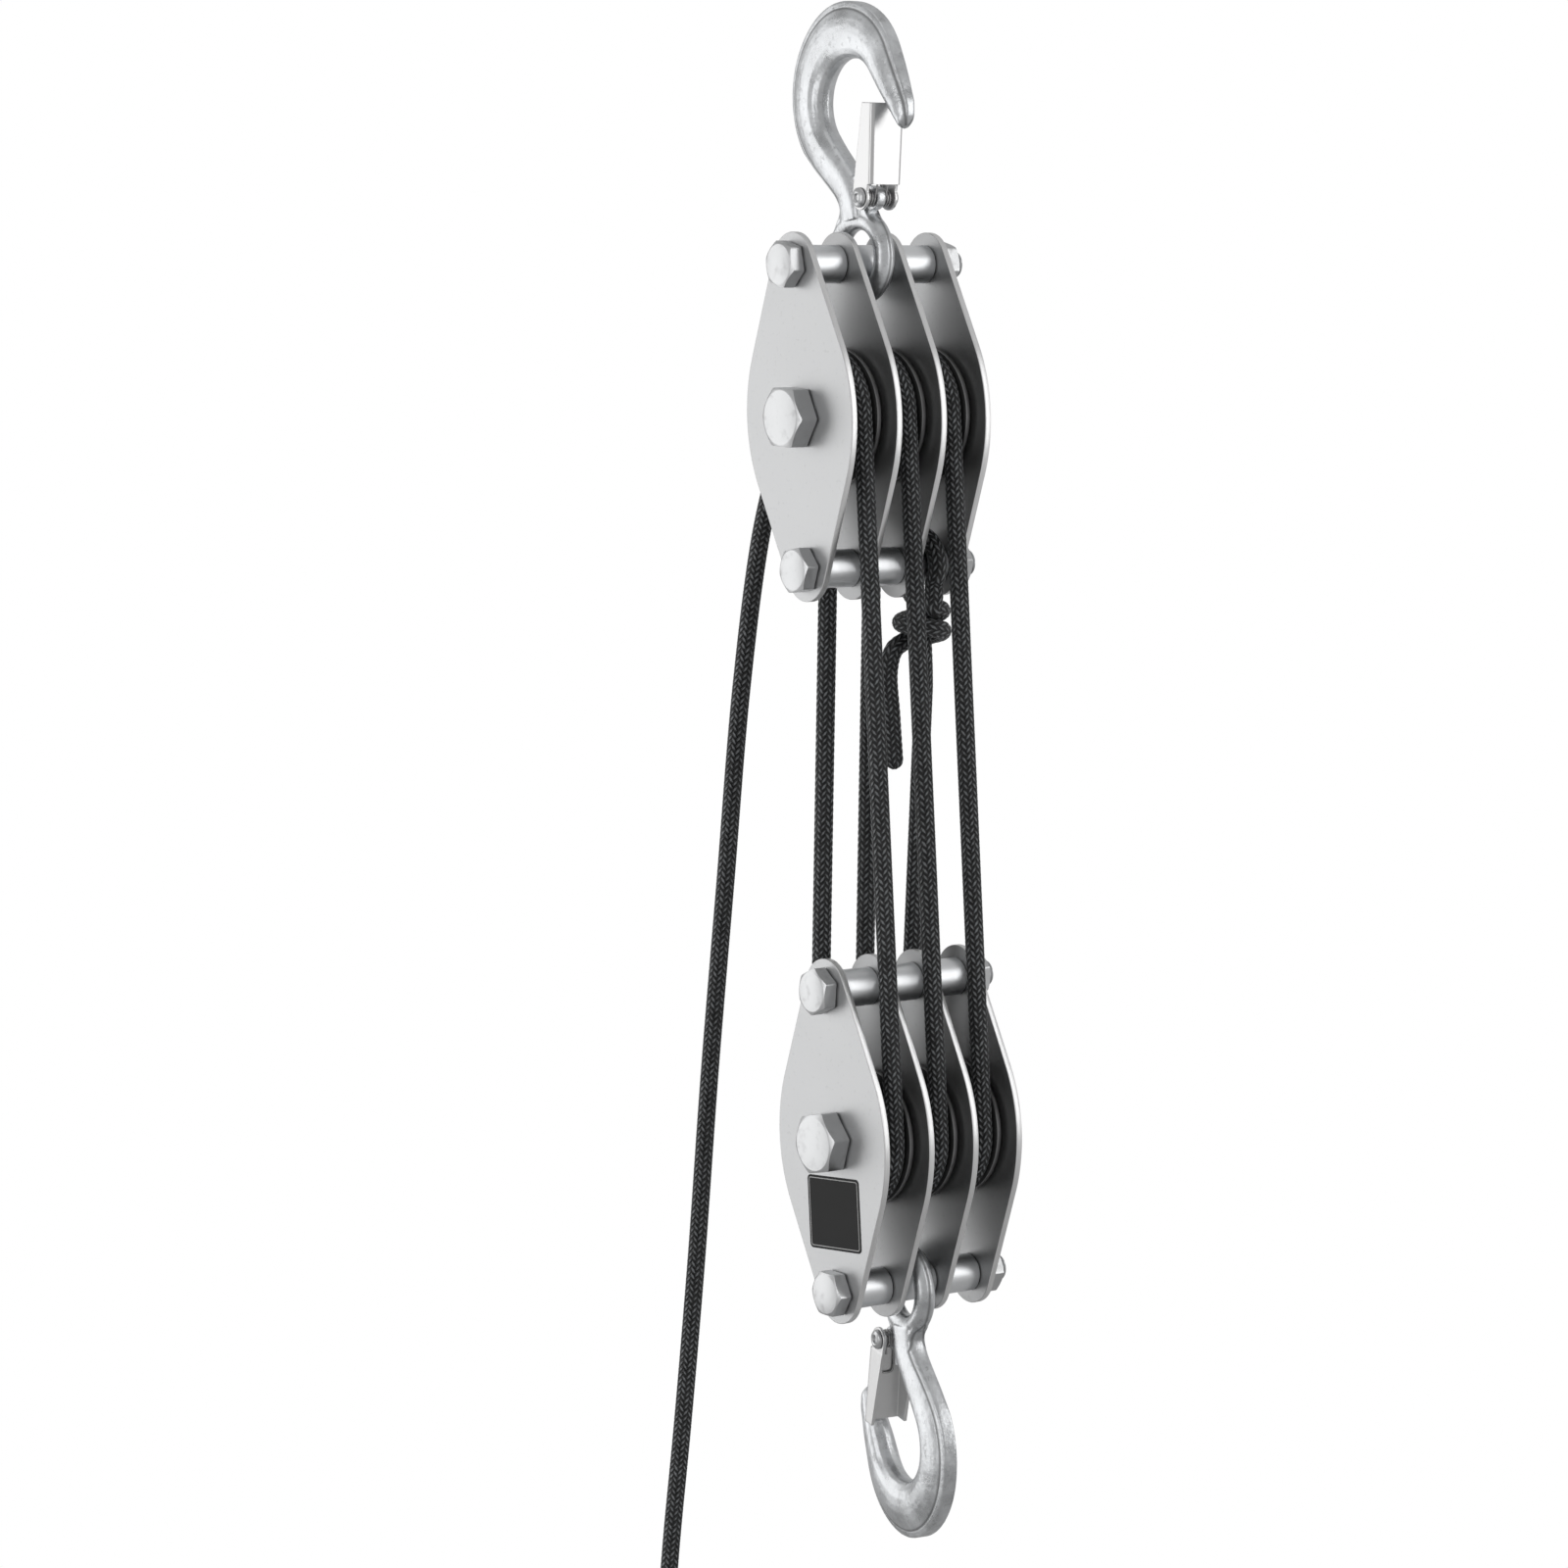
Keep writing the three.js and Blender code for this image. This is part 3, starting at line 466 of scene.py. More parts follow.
def dressed(mesh, *looks):
    """The mesh with these finishes in its material slots."""
    for look in looks:
        mesh.materials.append(FINISHES[look])
    return mesh


def grown(source):
    """The plain mesh that an object's curve or modifiers make. The object itself goes."""
    bpy.context.view_layer.update()
    graph = bpy.context.evaluated_depsgraph_get()
    mesh = bpy.data.meshes.new_from_object(source.evaluated_get(graph))
    bpy.data.objects.remove(source)
    return mesh


def make_piece(name, body, parts, slot, place=Matrix.Identity(4), sharp=32.0):
    """One object from (points, faces, finish name) parts, in millimetres before its place."""
    looks = list(dict.fromkeys(look for _, _, look in parts))
    slots = [looks.index(look) for _, faces, look in parts for _ in faces]
    mesh = dressed(clean_mesh(name, [part[:2] for part in parts], slots), *looks)
    return add_object(name, body, mesh, slot, place, sharp)


def add_object(name, body, mesh, slot, place=Matrix.Identity(4), sharp=32.0):
    mesh.transform(Matrix.Scale(MM, 4) @ place)
    mesh.shade_smooth()
    if sharp:
        mesh.set_sharp_from_angle(angle=math.radians(sharp))
    made = put(name, mesh)
    if body:
        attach(made, body)
    return made


def shift(x=0.0, y=0.0, z=0.0):
    return Matrix.Translation((x, y, z))


BLOCKS = {"upper": (UPPER_AXLE, 1), "lower": (LOWER_AXLE, -1)}
print("piece helpers ready")

# %% [markdown]
# The cheek plates are laser-cut from sheet: a diamond with bowed waists and round ends. A flat
# curve with holes, extruded and bevelled, gives the plate its crisp broken edges in a few lines,
# where a box cut by booleans would need cleaning. Cut edges get a brighter finish than faces.

# %% Cheek plates
WAIST_HALF, WAIST_RADIUS, END_RADIUS = 45.5, 84.0, 16.7
AXLE_HOLE, TIE_HOLE, PLATE_BREAK = 10.3, 7.3, 0.35
FLAT_FACE = 0.95


def plate_outline():
    waist = WAIST_RADIUS - WAIST_HALF
    across = math.hypot(waist, BOLT_REACH)
    lean = math.atan2(BOLT_REACH, waist) - math.acos((WAIST_RADIUS - END_RADIUS) / across)
    half = arc(-waist, 0, WAIST_RADIUS, -lean, 2 * lean, 40)
    half += arc(0, BOLT_REACH, END_RADIUS, lean, math.pi - 2 * lean, 40)
    return half + [(-x, -z) for x, z in half]


def hole(z, radius, steps):
    return arc(0, z, radius, 0, 2 * math.pi, steps)[:-1]


def flat_mesh(name, outlines, thickness, edge):
    """A mesh of a flat shape with holes, standing in X and Z and centred on Y."""
    curve = bpy.data.curves.new(name, "CURVE")
    curve.dimensions, curve.fill_mode = "2D", "BOTH"
    curve.extrude, curve.bevel_depth, curve.bevel_resolution = thickness / 2 - edge, edge, 2
    curve.offset = -edge
    for outline in outlines:
        spline = curve.splines.new("POLY")
        spline.points.add(len(outline) - 1)
        for point, (x, z) in zip(spline.points, outline):
            point.co = (x, z, 0, 1)
        spline.use_cyclic_u = True
    mesh = grown(put(name, curve))
    mesh.materials.clear()
    mesh.transform(Matrix.Rotation(math.pi / 2, 4, "X"))
    return mesh


plate_mesh = flat_mesh("plate", [
    plate_outline(), hole(0, AXLE_HOLE, 48), hole(BOLT_REACH, TIE_HOLE, 40),
    hole(-BOLT_REACH, TIE_HOLE, 40)], PLATE, PLATE_BREAK)
for block, (axle, _) in BLOCKS.items():
    for i, (y, outward) in enumerate(zip(PLATES, (-1, 0, 0, 1))):
        mesh = dressed(plate_mesh.copy(), "plate_face", "cut_edge", "shaded_plate_face")
        # The outer faces of the end plates keep the plain finish, and every face that looks into a
        # bay gets the darker one, painted shade between the plates.
        for face in mesh.polygons:
            side = 0 if face.normal.y * outward > 0 else 2
            face.material_index = side if abs(face.normal.y) > FLAT_FACE else 1
        plate = add_object(f"{block}_plate_{i + 1}", f"{block}_block", mesh, "cheek",
                           shift(0, y, axle), sharp=40.0)
        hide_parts(f"{block}_cheek_{i + 1}")
print("plate points", len(plate_mesh.vertices))

# %% [markdown]
# Bolts and nuts are hexagons whose corners a cone has cut, which leaves the curved chamfer lines
# that everyone knows. Working the ring radius and drop out for each direction draws those lines
# exactly, and the same rings run on into the shank and its screw thread as one closed skin.

# %% Bolts and nuts
AXLE_BOLT = {"radius": 10.0, "flats": 30.0, "head": 11.8, "nut": 16.0, "proud": 5.0, "pitch": 2.5}
TIE_BOLT = {"radius": 7.0, "flats": 22.0, "head": 8.4, "nut": 11.0, "proud": 6.0, "pitch": 2.0}
HEX_SEGMENTS = 120
CHAMFER = math.tan(math.radians(28))
FACE_SHARE, CORNER_SHARE = 0.95, 0.985
THREAD_DEPTH, THREAD_ROWS, THREAD_CREST = 0.61, 8, 0.9
SIDE_TURN, BLOCK_TURN = 13, 7
BREAK, WASHER_FACE, BORE_GAP, THREAD_TAPER = 0.1, 0.4, 0.3, 1.7


def hex_radius(angle, flats):
    sixth = math.pi / 3
    radius = flats / 2 / math.cos((angle + sixth / 2) % sixth - sixth / 2)
    return min(radius, flats / math.sqrt(3) * CORNER_SHARE)


def hex_ring(flats, y, drop_towards=0.0):
    def spot_at(turn):
        radius = hex_radius(2 * math.pi * turn, flats)
        return radius, y + (radius - flats / 2 * FACE_SHARE) * CHAMFER * drop_towards

    return turned(spot_at, HEX_SEGMENTS)


def round_ring(radius, y):
    return circle(radius, y, HEX_SEGMENTS)


def thread_rings(bolt, start, end):
    """A screw thread that fades in over its first turn and out over its last."""
    radius, pitch = bolt["radius"], bolt["pitch"]
    count = int((end - start) / pitch * THREAD_ROWS)
    rings = []
    for k in range(count + 1):
        y = start + (end - start) * k / count
        depth = THREAD_DEPTH * pitch * min(1.0, (k + 1) / THREAD_ROWS, (end - y) / pitch + 0.2)

        def spot_at(turn):
            phase = (y / pitch - turn) % 1.0
            return radius - depth * min(abs(2 * phase - 1), THREAD_CREST), y

        rings.append(turned(spot_at, HEX_SEGMENTS))
    return rings


def bolt_skin(bolt):
    """From the head down: a chamfered hexagon, a washer face, the shank, its thread and end."""
    under = -STACK_HALF - SEAT_GAP
    top = under - bolt["head"]
    end = STACK_HALF + SEAT_GAP + bolt["nut"] + bolt["proud"]
    radius, flats, face = bolt["radius"], bolt["flats"], bolt["flats"] / 2 * FACE_SHARE
    rings = [
        [(0, top, 0)], round_ring(face * 0.97, top), round_ring(face, top + BREAK),
        hex_ring(flats, top + BREAK, 1.0), hex_ring(flats, under - 1.5 * WASHER_FACE),
        round_ring(face, under - WASHER_FACE), round_ring(face, under),
        round_ring(radius, under), round_ring(radius, STACK_HALF - PLATE)]
    rings += thread_rings(bolt, STACK_HALF - PLATE / 2, end - 1.2)
    return skin(rings + [round_ring(radius - THREAD_TAPER, end), [(0, end, 0)]])


def nut_skin(bolt):
    near = STACK_HALF + SEAT_GAP
    far = near + bolt["nut"]
    flats, face, bore = bolt["flats"], bolt["flats"] / 2 * FACE_SHARE, bolt["radius"] + BORE_GAP
    return skin([
        round_ring(bore, near), round_ring(face, near), hex_ring(flats, near + BREAK, 1.0),
        hex_ring(flats, far - BREAK, -1.0), round_ring(face, far),
        round_ring(bore + 1.0, far), round_ring(bore, far - 1.0)], loop=True)


BOLT_PLACES = {"axle": (AXLE_BOLT, 0), "hook": (TIE_BOLT, 1), "rope": (TIE_BOLT, -1)}
for block, (axle, flip) in BLOCKS.items():
    for part, (bolt, side) in BOLT_PLACES.items():
        place = shift(0, 0, axle + flip * side * BOLT_REACH)
        turn = Matrix.Rotation(math.radians(SIDE_TURN * side + BLOCK_TURN * flip), 4, "Y")
        for kind, shape in (("bolt", bolt_skin(bolt)), ("nut", nut_skin(bolt))):
            made = make_piece(f"{block}_{part}_{kind}_dress", f"{block}_block",
                              [(*shape, "bright_zinc")], "zinc", place @ turn, sharp=20.0)
            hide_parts(f"{block}_{part}_{kind}")
print("bolts and nuts", 2 * len(BOLT_PLACES) * len(BLOCKS))

# %% [markdown]
# Three spacer tubes stand in line on each tie bolt and three bronze sleeves on each axle. They
# repeat at the pitch of the bays, so one Geometry Nodes tree turns a rounded wall section round
# a circle and sets copies along Y. Its sizes are named inputs, set once for each row.

# %% Rows of tubes by Geometry Nodes
def new_tree(name, inputs):
    tree = bpy.data.node_groups.new(name, "GeometryNodeTree")
    face = tree.interface
    for label, kind in {"Geometry": "Geometry", **inputs}.items():
        face.new_socket(label, in_out="INPUT", socket_type=f"NodeSocket{kind}")
    face.new_socket("Geometry", in_out="OUTPUT", socket_type="NodeSocketGeometry")
    graph = Graph(tree)
    source = tree.nodes.new("NodeGroupInput")
    return graph, {item.name: Value(graph, item) for item in source.outputs if item.name}


def end_tree(graph, geometry, material):
    realized = graph.node("GeometryNodeRealizeInstances", {"Geometry": geometry})
    coated = graph.node("GeometryNodeSetMaterial", {"Geometry": realized, "Material": material})
    graph.plug(graph.tree.nodes.new("NodeGroupOutput").inputs[0], coated)
    return graph.tree


def tube_row_tree():
    graph, given = new_tree("tube row", {
        "Outer": "Float", "Bore": "Float", "Length": "Float", "Edge": "Float",
        "Pitch": "Float", "Count": "Int", "Material": "Material"})
    mean = (given["Outer"] + given["Bore"]) / 4
    wall = (given["Outer"] - given["Bore"]) / 2
    path = graph.node("GeometryNodeCurvePrimitiveCircle", {"Resolution": 96, "Radius": mean})
    section = graph.node("GeometryNodeCurvePrimitiveQuadrilateral", {
        "Width": wall, "Height": given["Length"]})
    section = graph.node("GeometryNodeFilletCurve", {"Curve": section, "Radius": given["Edge"]})
    tube = graph.node("GeometryNodeCurveToMesh", {"Curve": path, "Profile Curve": section})
    tube = graph.node("GeometryNodeTransform", {
        "Geometry": tube, "Rotation": (math.pi / 2, 0.0, 0.0)})
    reach = given["Pitch"] * (given["Count"] - 1) * -0.5
    line = graph.node("GeometryNodeMeshLine", {
        "Count": given["Count"],
        "Start Location": graph.node("ShaderNodeCombineXYZ", {"Y": reach}),
        "Offset": graph.node("ShaderNodeCombineXYZ", {"Y": given["Pitch"]})}, mode="OFFSET")
    row = graph.node("GeometryNodeInstanceOnPoints", {"Points": line, "Instance": tube})
    return end_tree(graph, row, given["Material"])


def grown_mesh(name, tree, data, settings):
    """The plain mesh that a Geometry Nodes tree grows from a mesh or a curve."""
    source = put(name, data)
    modifier = source.modifiers.new(name, "NODES")
    modifier.node_group = tree
    for item in tree.interface.items_tree:
        if item.in_out == "INPUT" and item.name in settings:
            modifier[item.identifier] = settings[item.name]
    return grown(source)


tube_row = tube_row_tree()
TUBE_ROWS = {
    "hook_spacer": (20.0, 14.6, 1, "spacer_steel", "zinc"),
    "rope_spacer": (20.0, 14.6, -1, "spacer_steel", "zinc"),
    "sleeve": (25.0, 20.6, 0, "bronze", "bronze")}
for block, (axle, flip) in BLOCKS.items():
    for part, (outer, bore, side, look, slot) in TUBE_ROWS.items():
        mesh = grown_mesh("row", tube_row, bpy.data.meshes.new("row"), {
            "Outer": outer, "Bore": bore, "Length": BAY - 2 * SEAT_GAP, "Edge": 0.5,
            "Pitch": BAY_PITCH, "Count": len(BAYS), "Material": FINISHES[look]})
        row = add_object(f"{block}_{part}_row", f"{block}_block", mesh, slot,
                         shift(0, 0, axle + flip * side * BOLT_REACH), sharp=40.0)
        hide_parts(*[f"{block}_{part}_{i + 1}" for i in range(len(BAYS))])
print("tube rows", len(TUBE_ROWS) * len(BLOCKS))

# %% [markdown]
# A sheave is turned: a hub, a thin web and a rim with a groove that fits the rope. Its rim edges
# are polished by the rope and the plates, and their brighter finish, lighter than the dark body, is
# partly a painted highlight.

# %% Sheaves
SHEAVE_RADIUS, SHEAVE_HALF, RIM_LAND, RIM_DEPTH, WEB_RECESS = 36.0, 10.4, 2.6, 11.5, 3.2
HUB_RADIUS, HUB_HALF, SHEAVE_BORE, GROOVE = 18.0, 12.2, 12.8, 5.7


def sheave_parts():
    web, lip = SHEAVE_HALF - WEB_RECESS, SHEAVE_HALF - RIM_LAND
    rim_inner = SHEAVE_RADIUS - RIM_DEPTH
    side = [
        (SHEAVE_BORE, HUB_HALF - 0.4), (SHEAVE_BORE + 0.4, HUB_HALF), (HUB_RADIUS - 0.5, HUB_HALF),
        (HUB_RADIUS, HUB_HALF - 0.5), (HUB_RADIUS, web + 1.2), (HUB_RADIUS + 0.4, web + 0.3),
        (HUB_RADIUS + 1.2, web), (rim_inner - 1.2, web), (rim_inner - 0.4, web + 0.3),
        (rim_inner, web + 1.2), (rim_inner, SHEAVE_HALF - 0.5), (rim_inner + 0.5, SHEAVE_HALF)]
    rim = [side[-1], (SHEAVE_RADIUS - 1.3, SHEAVE_HALF), (SHEAVE_RADIUS - 0.4, SHEAVE_HALF - 0.3),
           (SHEAVE_RADIUS, SHEAVE_HALF - 1.1), (SHEAVE_RADIUS, lip + 0.4),
           (SHEAVE_RADIUS - 0.5, lip)]

    def far(profile):
        return [(r, -y) for r, y in reversed(profile)]

    groove = arc(ROPE_ORBIT, 0, GROOVE, math.pi / 2, math.pi, 16)
    valley = [rim[-1]] + groove + [far(rim)[0]]
    profiles = [
        (side, "dark_sheave"), (rim, "worn_rim"), (valley, "dark_sheave"), (far(rim), "worn_rim"),
        (far(side), "dark_sheave"), ([far(side)[-1], side[0]], "dark_sheave")]
    return [(*revolve(profile), look) for profile, look in profiles]


for block, (axle, _) in BLOCKS.items():
    for i, y in enumerate(BAYS):
        node = f"{block}_sheave_{i + 1}"
        wheel = make_piece(f"{node}_dress", node, sheave_parts(), "sheave", shift(0, y, axle),
                           sharp=40.0)
        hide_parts(node)
print("sheaves", len(BAYS) * len(BLOCKS))

# %% [markdown]
# The hooks are drop forgings. A loft of egg-shaped sections makes bowl, tip and neck, a torus
# makes the eye, and a boss carries the latch. A voxel remesh fuses them and a smoothing pass
# melts the joints into fillets, which is how forged metal flows and what booleans can't give.

# %% Hook
EYE_ORBIT, EYE_BAR = 19.5, 5.5
BOWL, BOWL_RADIUS, SADDLE = Vector((4.0, 80.0)), 23.0, 30.5
CROWN, RIM, NECK_THICK, NECK_DEEP = 15.5, 8.0, 13.6, 18.0
TIP_LENGTH, TIP_ANGLE, NECK_ANGLE = 37.0, 30.0, 216.0
LUG_HALF, LUG_RADIUS, LUG_ROOT = 2.5, 6.2, 9.0
PIVOT = Vector((15.3, 29.0))
BOWL_DEPTH = [(30, 0.7), (60, 0.88), (95, 1.0), (140, 0.95), (180, 0.85), (216, 0.76)]
TIP_DEPTH = [(0.0, 0.7), (0.3, 0.62), (0.6, 0.52), (0.85, 0.4), (0.96, 0.26), (1.0, 0.12)]
TIP_THICK = [(0.0, 1.0), (0.3, 0.94), (0.6, 0.8), (0.85, 0.66), (0.96, 0.5), (1.0, 0.24)]
SECTION = [  # along the depth, and the shares of the crown's and the rim's width
    (0.0, 0.0, 0.0), (0.03, 0.42, 0.0), (0.08, 0.66, 0.0), (0.18, 0.89, 0.0), (0.3, 1.0, 0.0),
    (0.45, 0.99, 0.0), (0.58, 0.92, 0.02), (0.72, 0.66, 0.3), (0.84, 0.3, 0.7),
    (0.9, 0.08, 0.94), (0.97, 0.0, 0.98), (1.0, 0.0, 0.9)]
SEAM_SHARE, SEAM_CROWN, SEAM_RIM, SEAM_WIDTH = 0.87, 0.19, 0.82, 1.1
SHOULDER_HALF, SHOULDER_TOP, EASING = 4.6, 42.0, 90


def share_at(table, key):
    """A smooth curve through the (key, share) rows of a table, without a kink or a flat at any."""
    keys, shares = zip(*table)
    slopes = np.gradient(shares, keys)
    key = min(max(key, keys[0]), keys[-1])
    k = min(max(np.searchsorted(keys, key) - 1, 0), len(keys) - 2)
    span = keys[k + 1] - keys[k]
    t = (key - keys[k]) / span
    rise = (3 - 2 * t) * t * t
    return float(shares[k] * (1 - rise) + shares[k + 1] * rise
                 + span * t * (1 - t) * (slopes[k] * (1 - t) - slopes[k + 1] * t))


def towards(degrees):
    return Vector((math.cos(math.radians(degrees)), math.sin(math.radians(degrees))))


def hook_section(inner, outward, depth, crown, rim):
    half = [(along, (of_crown * crown + of_rim * rim) / 2) for along, of_crown, of_rim in SECTION]
    whole = half + [(along, -y) for along, y in reversed(half[1:])]
    points = []
    for along, y in whole:
        spot = inner + outward * along * depth
        points.append((spot.x, y, spot.y))
    return points


def hook_rings():
    """The sections of bowl and neck, and the run of the parting line on one side of them."""
    rings, seam = [], []

    def add(inner, outward, depth, crown, rim):
        rings.append(hook_section(inner, outward, depth, crown, rim))
        spot = inner + outward * SEAM_SHARE * depth
        seam.append(Vector((spot.x, (SEAM_CROWN * crown + SEAM_RIM * rim) / 2, spot.y)))

    normal, run = towards(TIP_ANGLE), towards(TIP_ANGLE - 90)
    root = BOWL + normal * BOWL_RADIUS
    tip_steps = 16
    for i in range(tip_steps + 1):
        share = 1 - (i / tip_steps) ** 1.4
        thick = share_at(TIP_THICK, share)
        inner = root + run * share * TIP_LENGTH + normal * (1 - thick) * RIM * 0.3
        add(inner, normal, share_at(TIP_DEPTH, share) * SADDLE, thick * CROWN, thick * RIM)
    bowl_steps = 48
    for i in range(1, bowl_steps + 1):
        angle = TIP_ANGLE + (NECK_ANGLE - TIP_ANGLE) * i / bowl_steps
        outward = towards(angle)
        add(BOWL + outward * BOWL_RADIUS, outward, share_at(BOWL_DEPTH, angle) * SADDLE,
            CROWN, RIM)
    end_depth = share_at(BOWL_DEPTH, NECK_ANGLE) * SADDLE
    start = BOWL + towards(NECK_ANGLE) * (BOWL_RADIUS + end_depth / 2)
    end = Vector((0.0, EYE_ORBIT))
    handle = (end - start).length / 2.4
    second = start + towards(NECK_ANGLE + 90) * handle
    third = Vector((0.0, EYE_ORBIT + handle))
    neck_steps = 18
    for i in range(1, neck_steps + 1):
        t = i / neck_steps
        spot = (start * (1 - t) ** 3 + second * 3 * t * (1 - t) ** 2
                + third * 3 * t * t * (1 - t) + end * t ** 3)
        along = ((second - start) * (1 - t) ** 2 + (third - second) * 2 * t * (1 - t)
                 + (end - third) * t * t).normalized()
        across = Vector((along.y, -along.x))
        depth = end_depth + (NECK_DEEP - end_depth) * t
        add(spot - across * depth / 2, across, depth, CROWN + (NECK_THICK - CROWN) * t,
            RIM + (NECK_THICK * 0.8 - RIM) * t)
    return rings, seam


def belt(first, second):
    """Outline round two circles, each (x, z, radius)."""
    (x1, z1, r1), (x2, z2, r2) = first, second
    across = math.hypot(x2 - x1, z2 - z1)
    way = math.atan2(z2 - z1, x2 - x1)
    lean = math.acos((r1 - r2) / across)
    outline = arc(x1, z1, r1, way + lean, 2 * math.pi - 2 * lean, 24)
    return outline + arc(x2, z2, r2, way - lean, 2 * lean, 24)


def capped(rings):
    points, faces = skin(rings)
    size, last = len(rings[0]), (len(rings) - 1) * len(rings[0])
    return points, faces + [list(range(size)), [last + i for i in reversed(range(size))]]


def prism(outline, low, high):
    return capped([[(x, y, z) for x, z in outline] for y in (low, high)])


def fused(name, shells, voxel, passes):
    """One closed mesh in millimetres from shells that overlap."""
    source = put(name, clean_mesh(name, shells))
    remesh = source.modifiers.new("fuse", "REMESH")
    remesh.mode, remesh.voxel_size = "VOXEL", voxel
    smooth = source.modifiers.new("melt", "SMOOTH")
    smooth.factor, smooth.iterations = 0.5, passes
    return grown(source)


def shoulder_outline():
    """The web that fills the corners between neck and eye, as forged metal flows there."""
    neck, eye, foot = NECK_DEEP * 0.42, EYE_ORBIT * 0.8, EYE_ORBIT * 0.85
    right = [(neck + (eye - neck) * (i / 8) ** 2.2, SHOULDER_TOP - (SHOULDER_TOP - foot) * i / 8)
             for i in range(9)]
    under = arc(0, 0, EYE_ORBIT, math.radians(35), math.radians(110), 12)
    return right + under + [(-x, z) for x, z in reversed(right)]


def eased(mesh, weight, repeats):
    """Smooth a mesh by neighbours' means, as much as weight(x, z) says at each point."""
    spots = np.zeros(len(mesh.vertices) * 3)
    mesh.vertices.foreach_get("co", spots)
    spots = spots.reshape(-1, 3)
    ends = np.zeros(len(mesh.edges) * 2, dtype=int)
    mesh.edges.foreach_get("vertices", ends)
    one, two = ends[0::2], ends[1::2]
    size = len(spots)
    neighbours = np.bincount(one, minlength=size) + np.bincount(two, minlength=size)
    share = weight(spots[:, 0], spots[:, 2])
    for _ in range(repeats):
        for axis in range(3):
            level = spots[:, axis]
            total = np.bincount(one, level[two], size) + np.bincount(two, level[one], size)
            spots[:, axis] = level + share * (total / neighbours - level) * 0.5
    mesh.vertices.foreach_set("co", spots.ravel())
    mesh.update()


def dense(points, spacing=0.25):
    spots = []
    for a, b in zip(points, points[1:]):
        count = max(1, int((b - a).length / spacing))
        spots.extend(a.lerp(b, k / count) for k in range(count))
    return spots


def at_the_back(x, z):
    """All of the weight behind the neck, fading towards its front, the eye and the bowl."""
    return np.clip((5 - x) / 5, 0, 1) * np.clip(np.minimum((z - 20) / 8, (60 - z) / 16), 0, 1)


def hook_mesh():
    rings, seam = hook_rings()
    lug = prism(belt((0.0, PIVOT.y, LUG_ROOT), (PIVOT.x, PIVOT.y, LUG_RADIUS)),
                -LUG_HALF, LUG_HALF)
    shoulder = prism(shoulder_outline(), -SHOULDER_HALF, SHOULDER_HALF)
    torus = revolve(arc(EYE_ORBIT, 0, EYE_BAR, 0, 2 * math.pi, 32)[:-1], loop=True)
    mesh = fused("hook", [capped(rings), torus, lug, shoulder], voxel=0.5, passes=6)
    eased(mesh, at_the_back, EASING)
    eye = [Vector((x, 0.0, z)) for x, z in arc(0, 0, EYE_ORBIT + EYE_BAR, math.radians(140),
                                               math.radians(260), 400)]
    end = seam[-7]
    side = dense(seam[:-6] + [end.lerp(eye[0], 0.5) + Vector((1.5, 1.0, 1.0)), eye[0]])
    lines = side + [Vector((p.x, -p.y, p.z)) for p in side] + eye
    surface = BVHTree.FromPolygons([v.co for v in mesh.vertices],
                                   [f.vertices for f in mesh.polygons])
    tree = KDTree(len(lines))
    for i, spot in enumerate(lines):
        tree.insert(surface.find_nearest(spot)[0], i)
    tree.balance()
    layer = mesh.attributes.new("seam", "FLOAT", "POINT")
    layer.data.foreach_set("value", [
        max(0.0, 1 - tree.find(vertex.co)[2] / SEAM_WIDTH) for vertex in mesh.vertices])
    return mesh


hook_master = dressed(hook_mesh(), "forged_zinc")
UPPER_LEAN = -math.atan2(BOWL.x, BOWL.y)
LOWER_LEAN, LOWER_YAW = math.pi + math.radians(3.0), math.radians(-10.0)
HOOK_PLACES = {
    "upper": shift(0, 0, UPPER_EYE) @ Matrix.Rotation(UPPER_LEAN, 4, "Y"),
    "lower": (shift(0, 0, LOWER_EYE) @ Matrix.Rotation(LOWER_YAW, 4, "Z")
              @ Matrix.Rotation(LOWER_LEAN, 4, "Y"))}
for block, place in HOOK_PLACES.items():
    made = add_object(f"{block}_hook_dress", f"{block}_hook", hook_master.copy(), "forged",
                      place, sharp=0)
    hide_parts(f"{block}_hook")
print("hook points", len(hook_master.vertices))

# %% [markdown]
# The latch is pressed from sheet: a web with two flanges that end in round ears on the rivet.
# Its channel is lofted from U-shaped sections, its ears are flat plates, and the same fusing
# step rounds the bends as a press does. The rivet is turned, with a dished head.

# %% Latch and rivet
LATCH_LONG, LATCH_REACH, SHEET = 49.0, 9.0, 1.8
LATCH_ROOT_HALF, LATCH_END_HALF, EAR_RADIUS, WEB_START, BEND = 9.9, 10.8, 6.5, 7.0, 2.2
RIVET_RADIUS, RIVET_HEAD, RIVET_HIGH = 3.0, 5.2, 2.0


def latch_half(z):
    low, high = -EAR_RADIUS - 5.0, LATCH_LONG + 5.0
    return LATCH_ROOT_HALF + (LATCH_END_HALF - LATCH_ROOT_HALF) * (z - low) / (high - low)


def u_section(z, back):
    half = latch_half(z)
    outer, inner = (arc(LATCH_REACH - BEND, half - BEND, radius, math.pi / 2, -math.pi / 2, 8)
                    for radius in (BEND, BEND - SHEET))
    top = [(back, half)] + outer
    bottom = [(back, half - SHEET)] + inner
    ring = top + [(x, -y) for x, y in reversed(top)]
    ring += [(x, -y) for x, y in bottom] + list(reversed(bottom))
    return [(x, y, z) for x, y in ring]


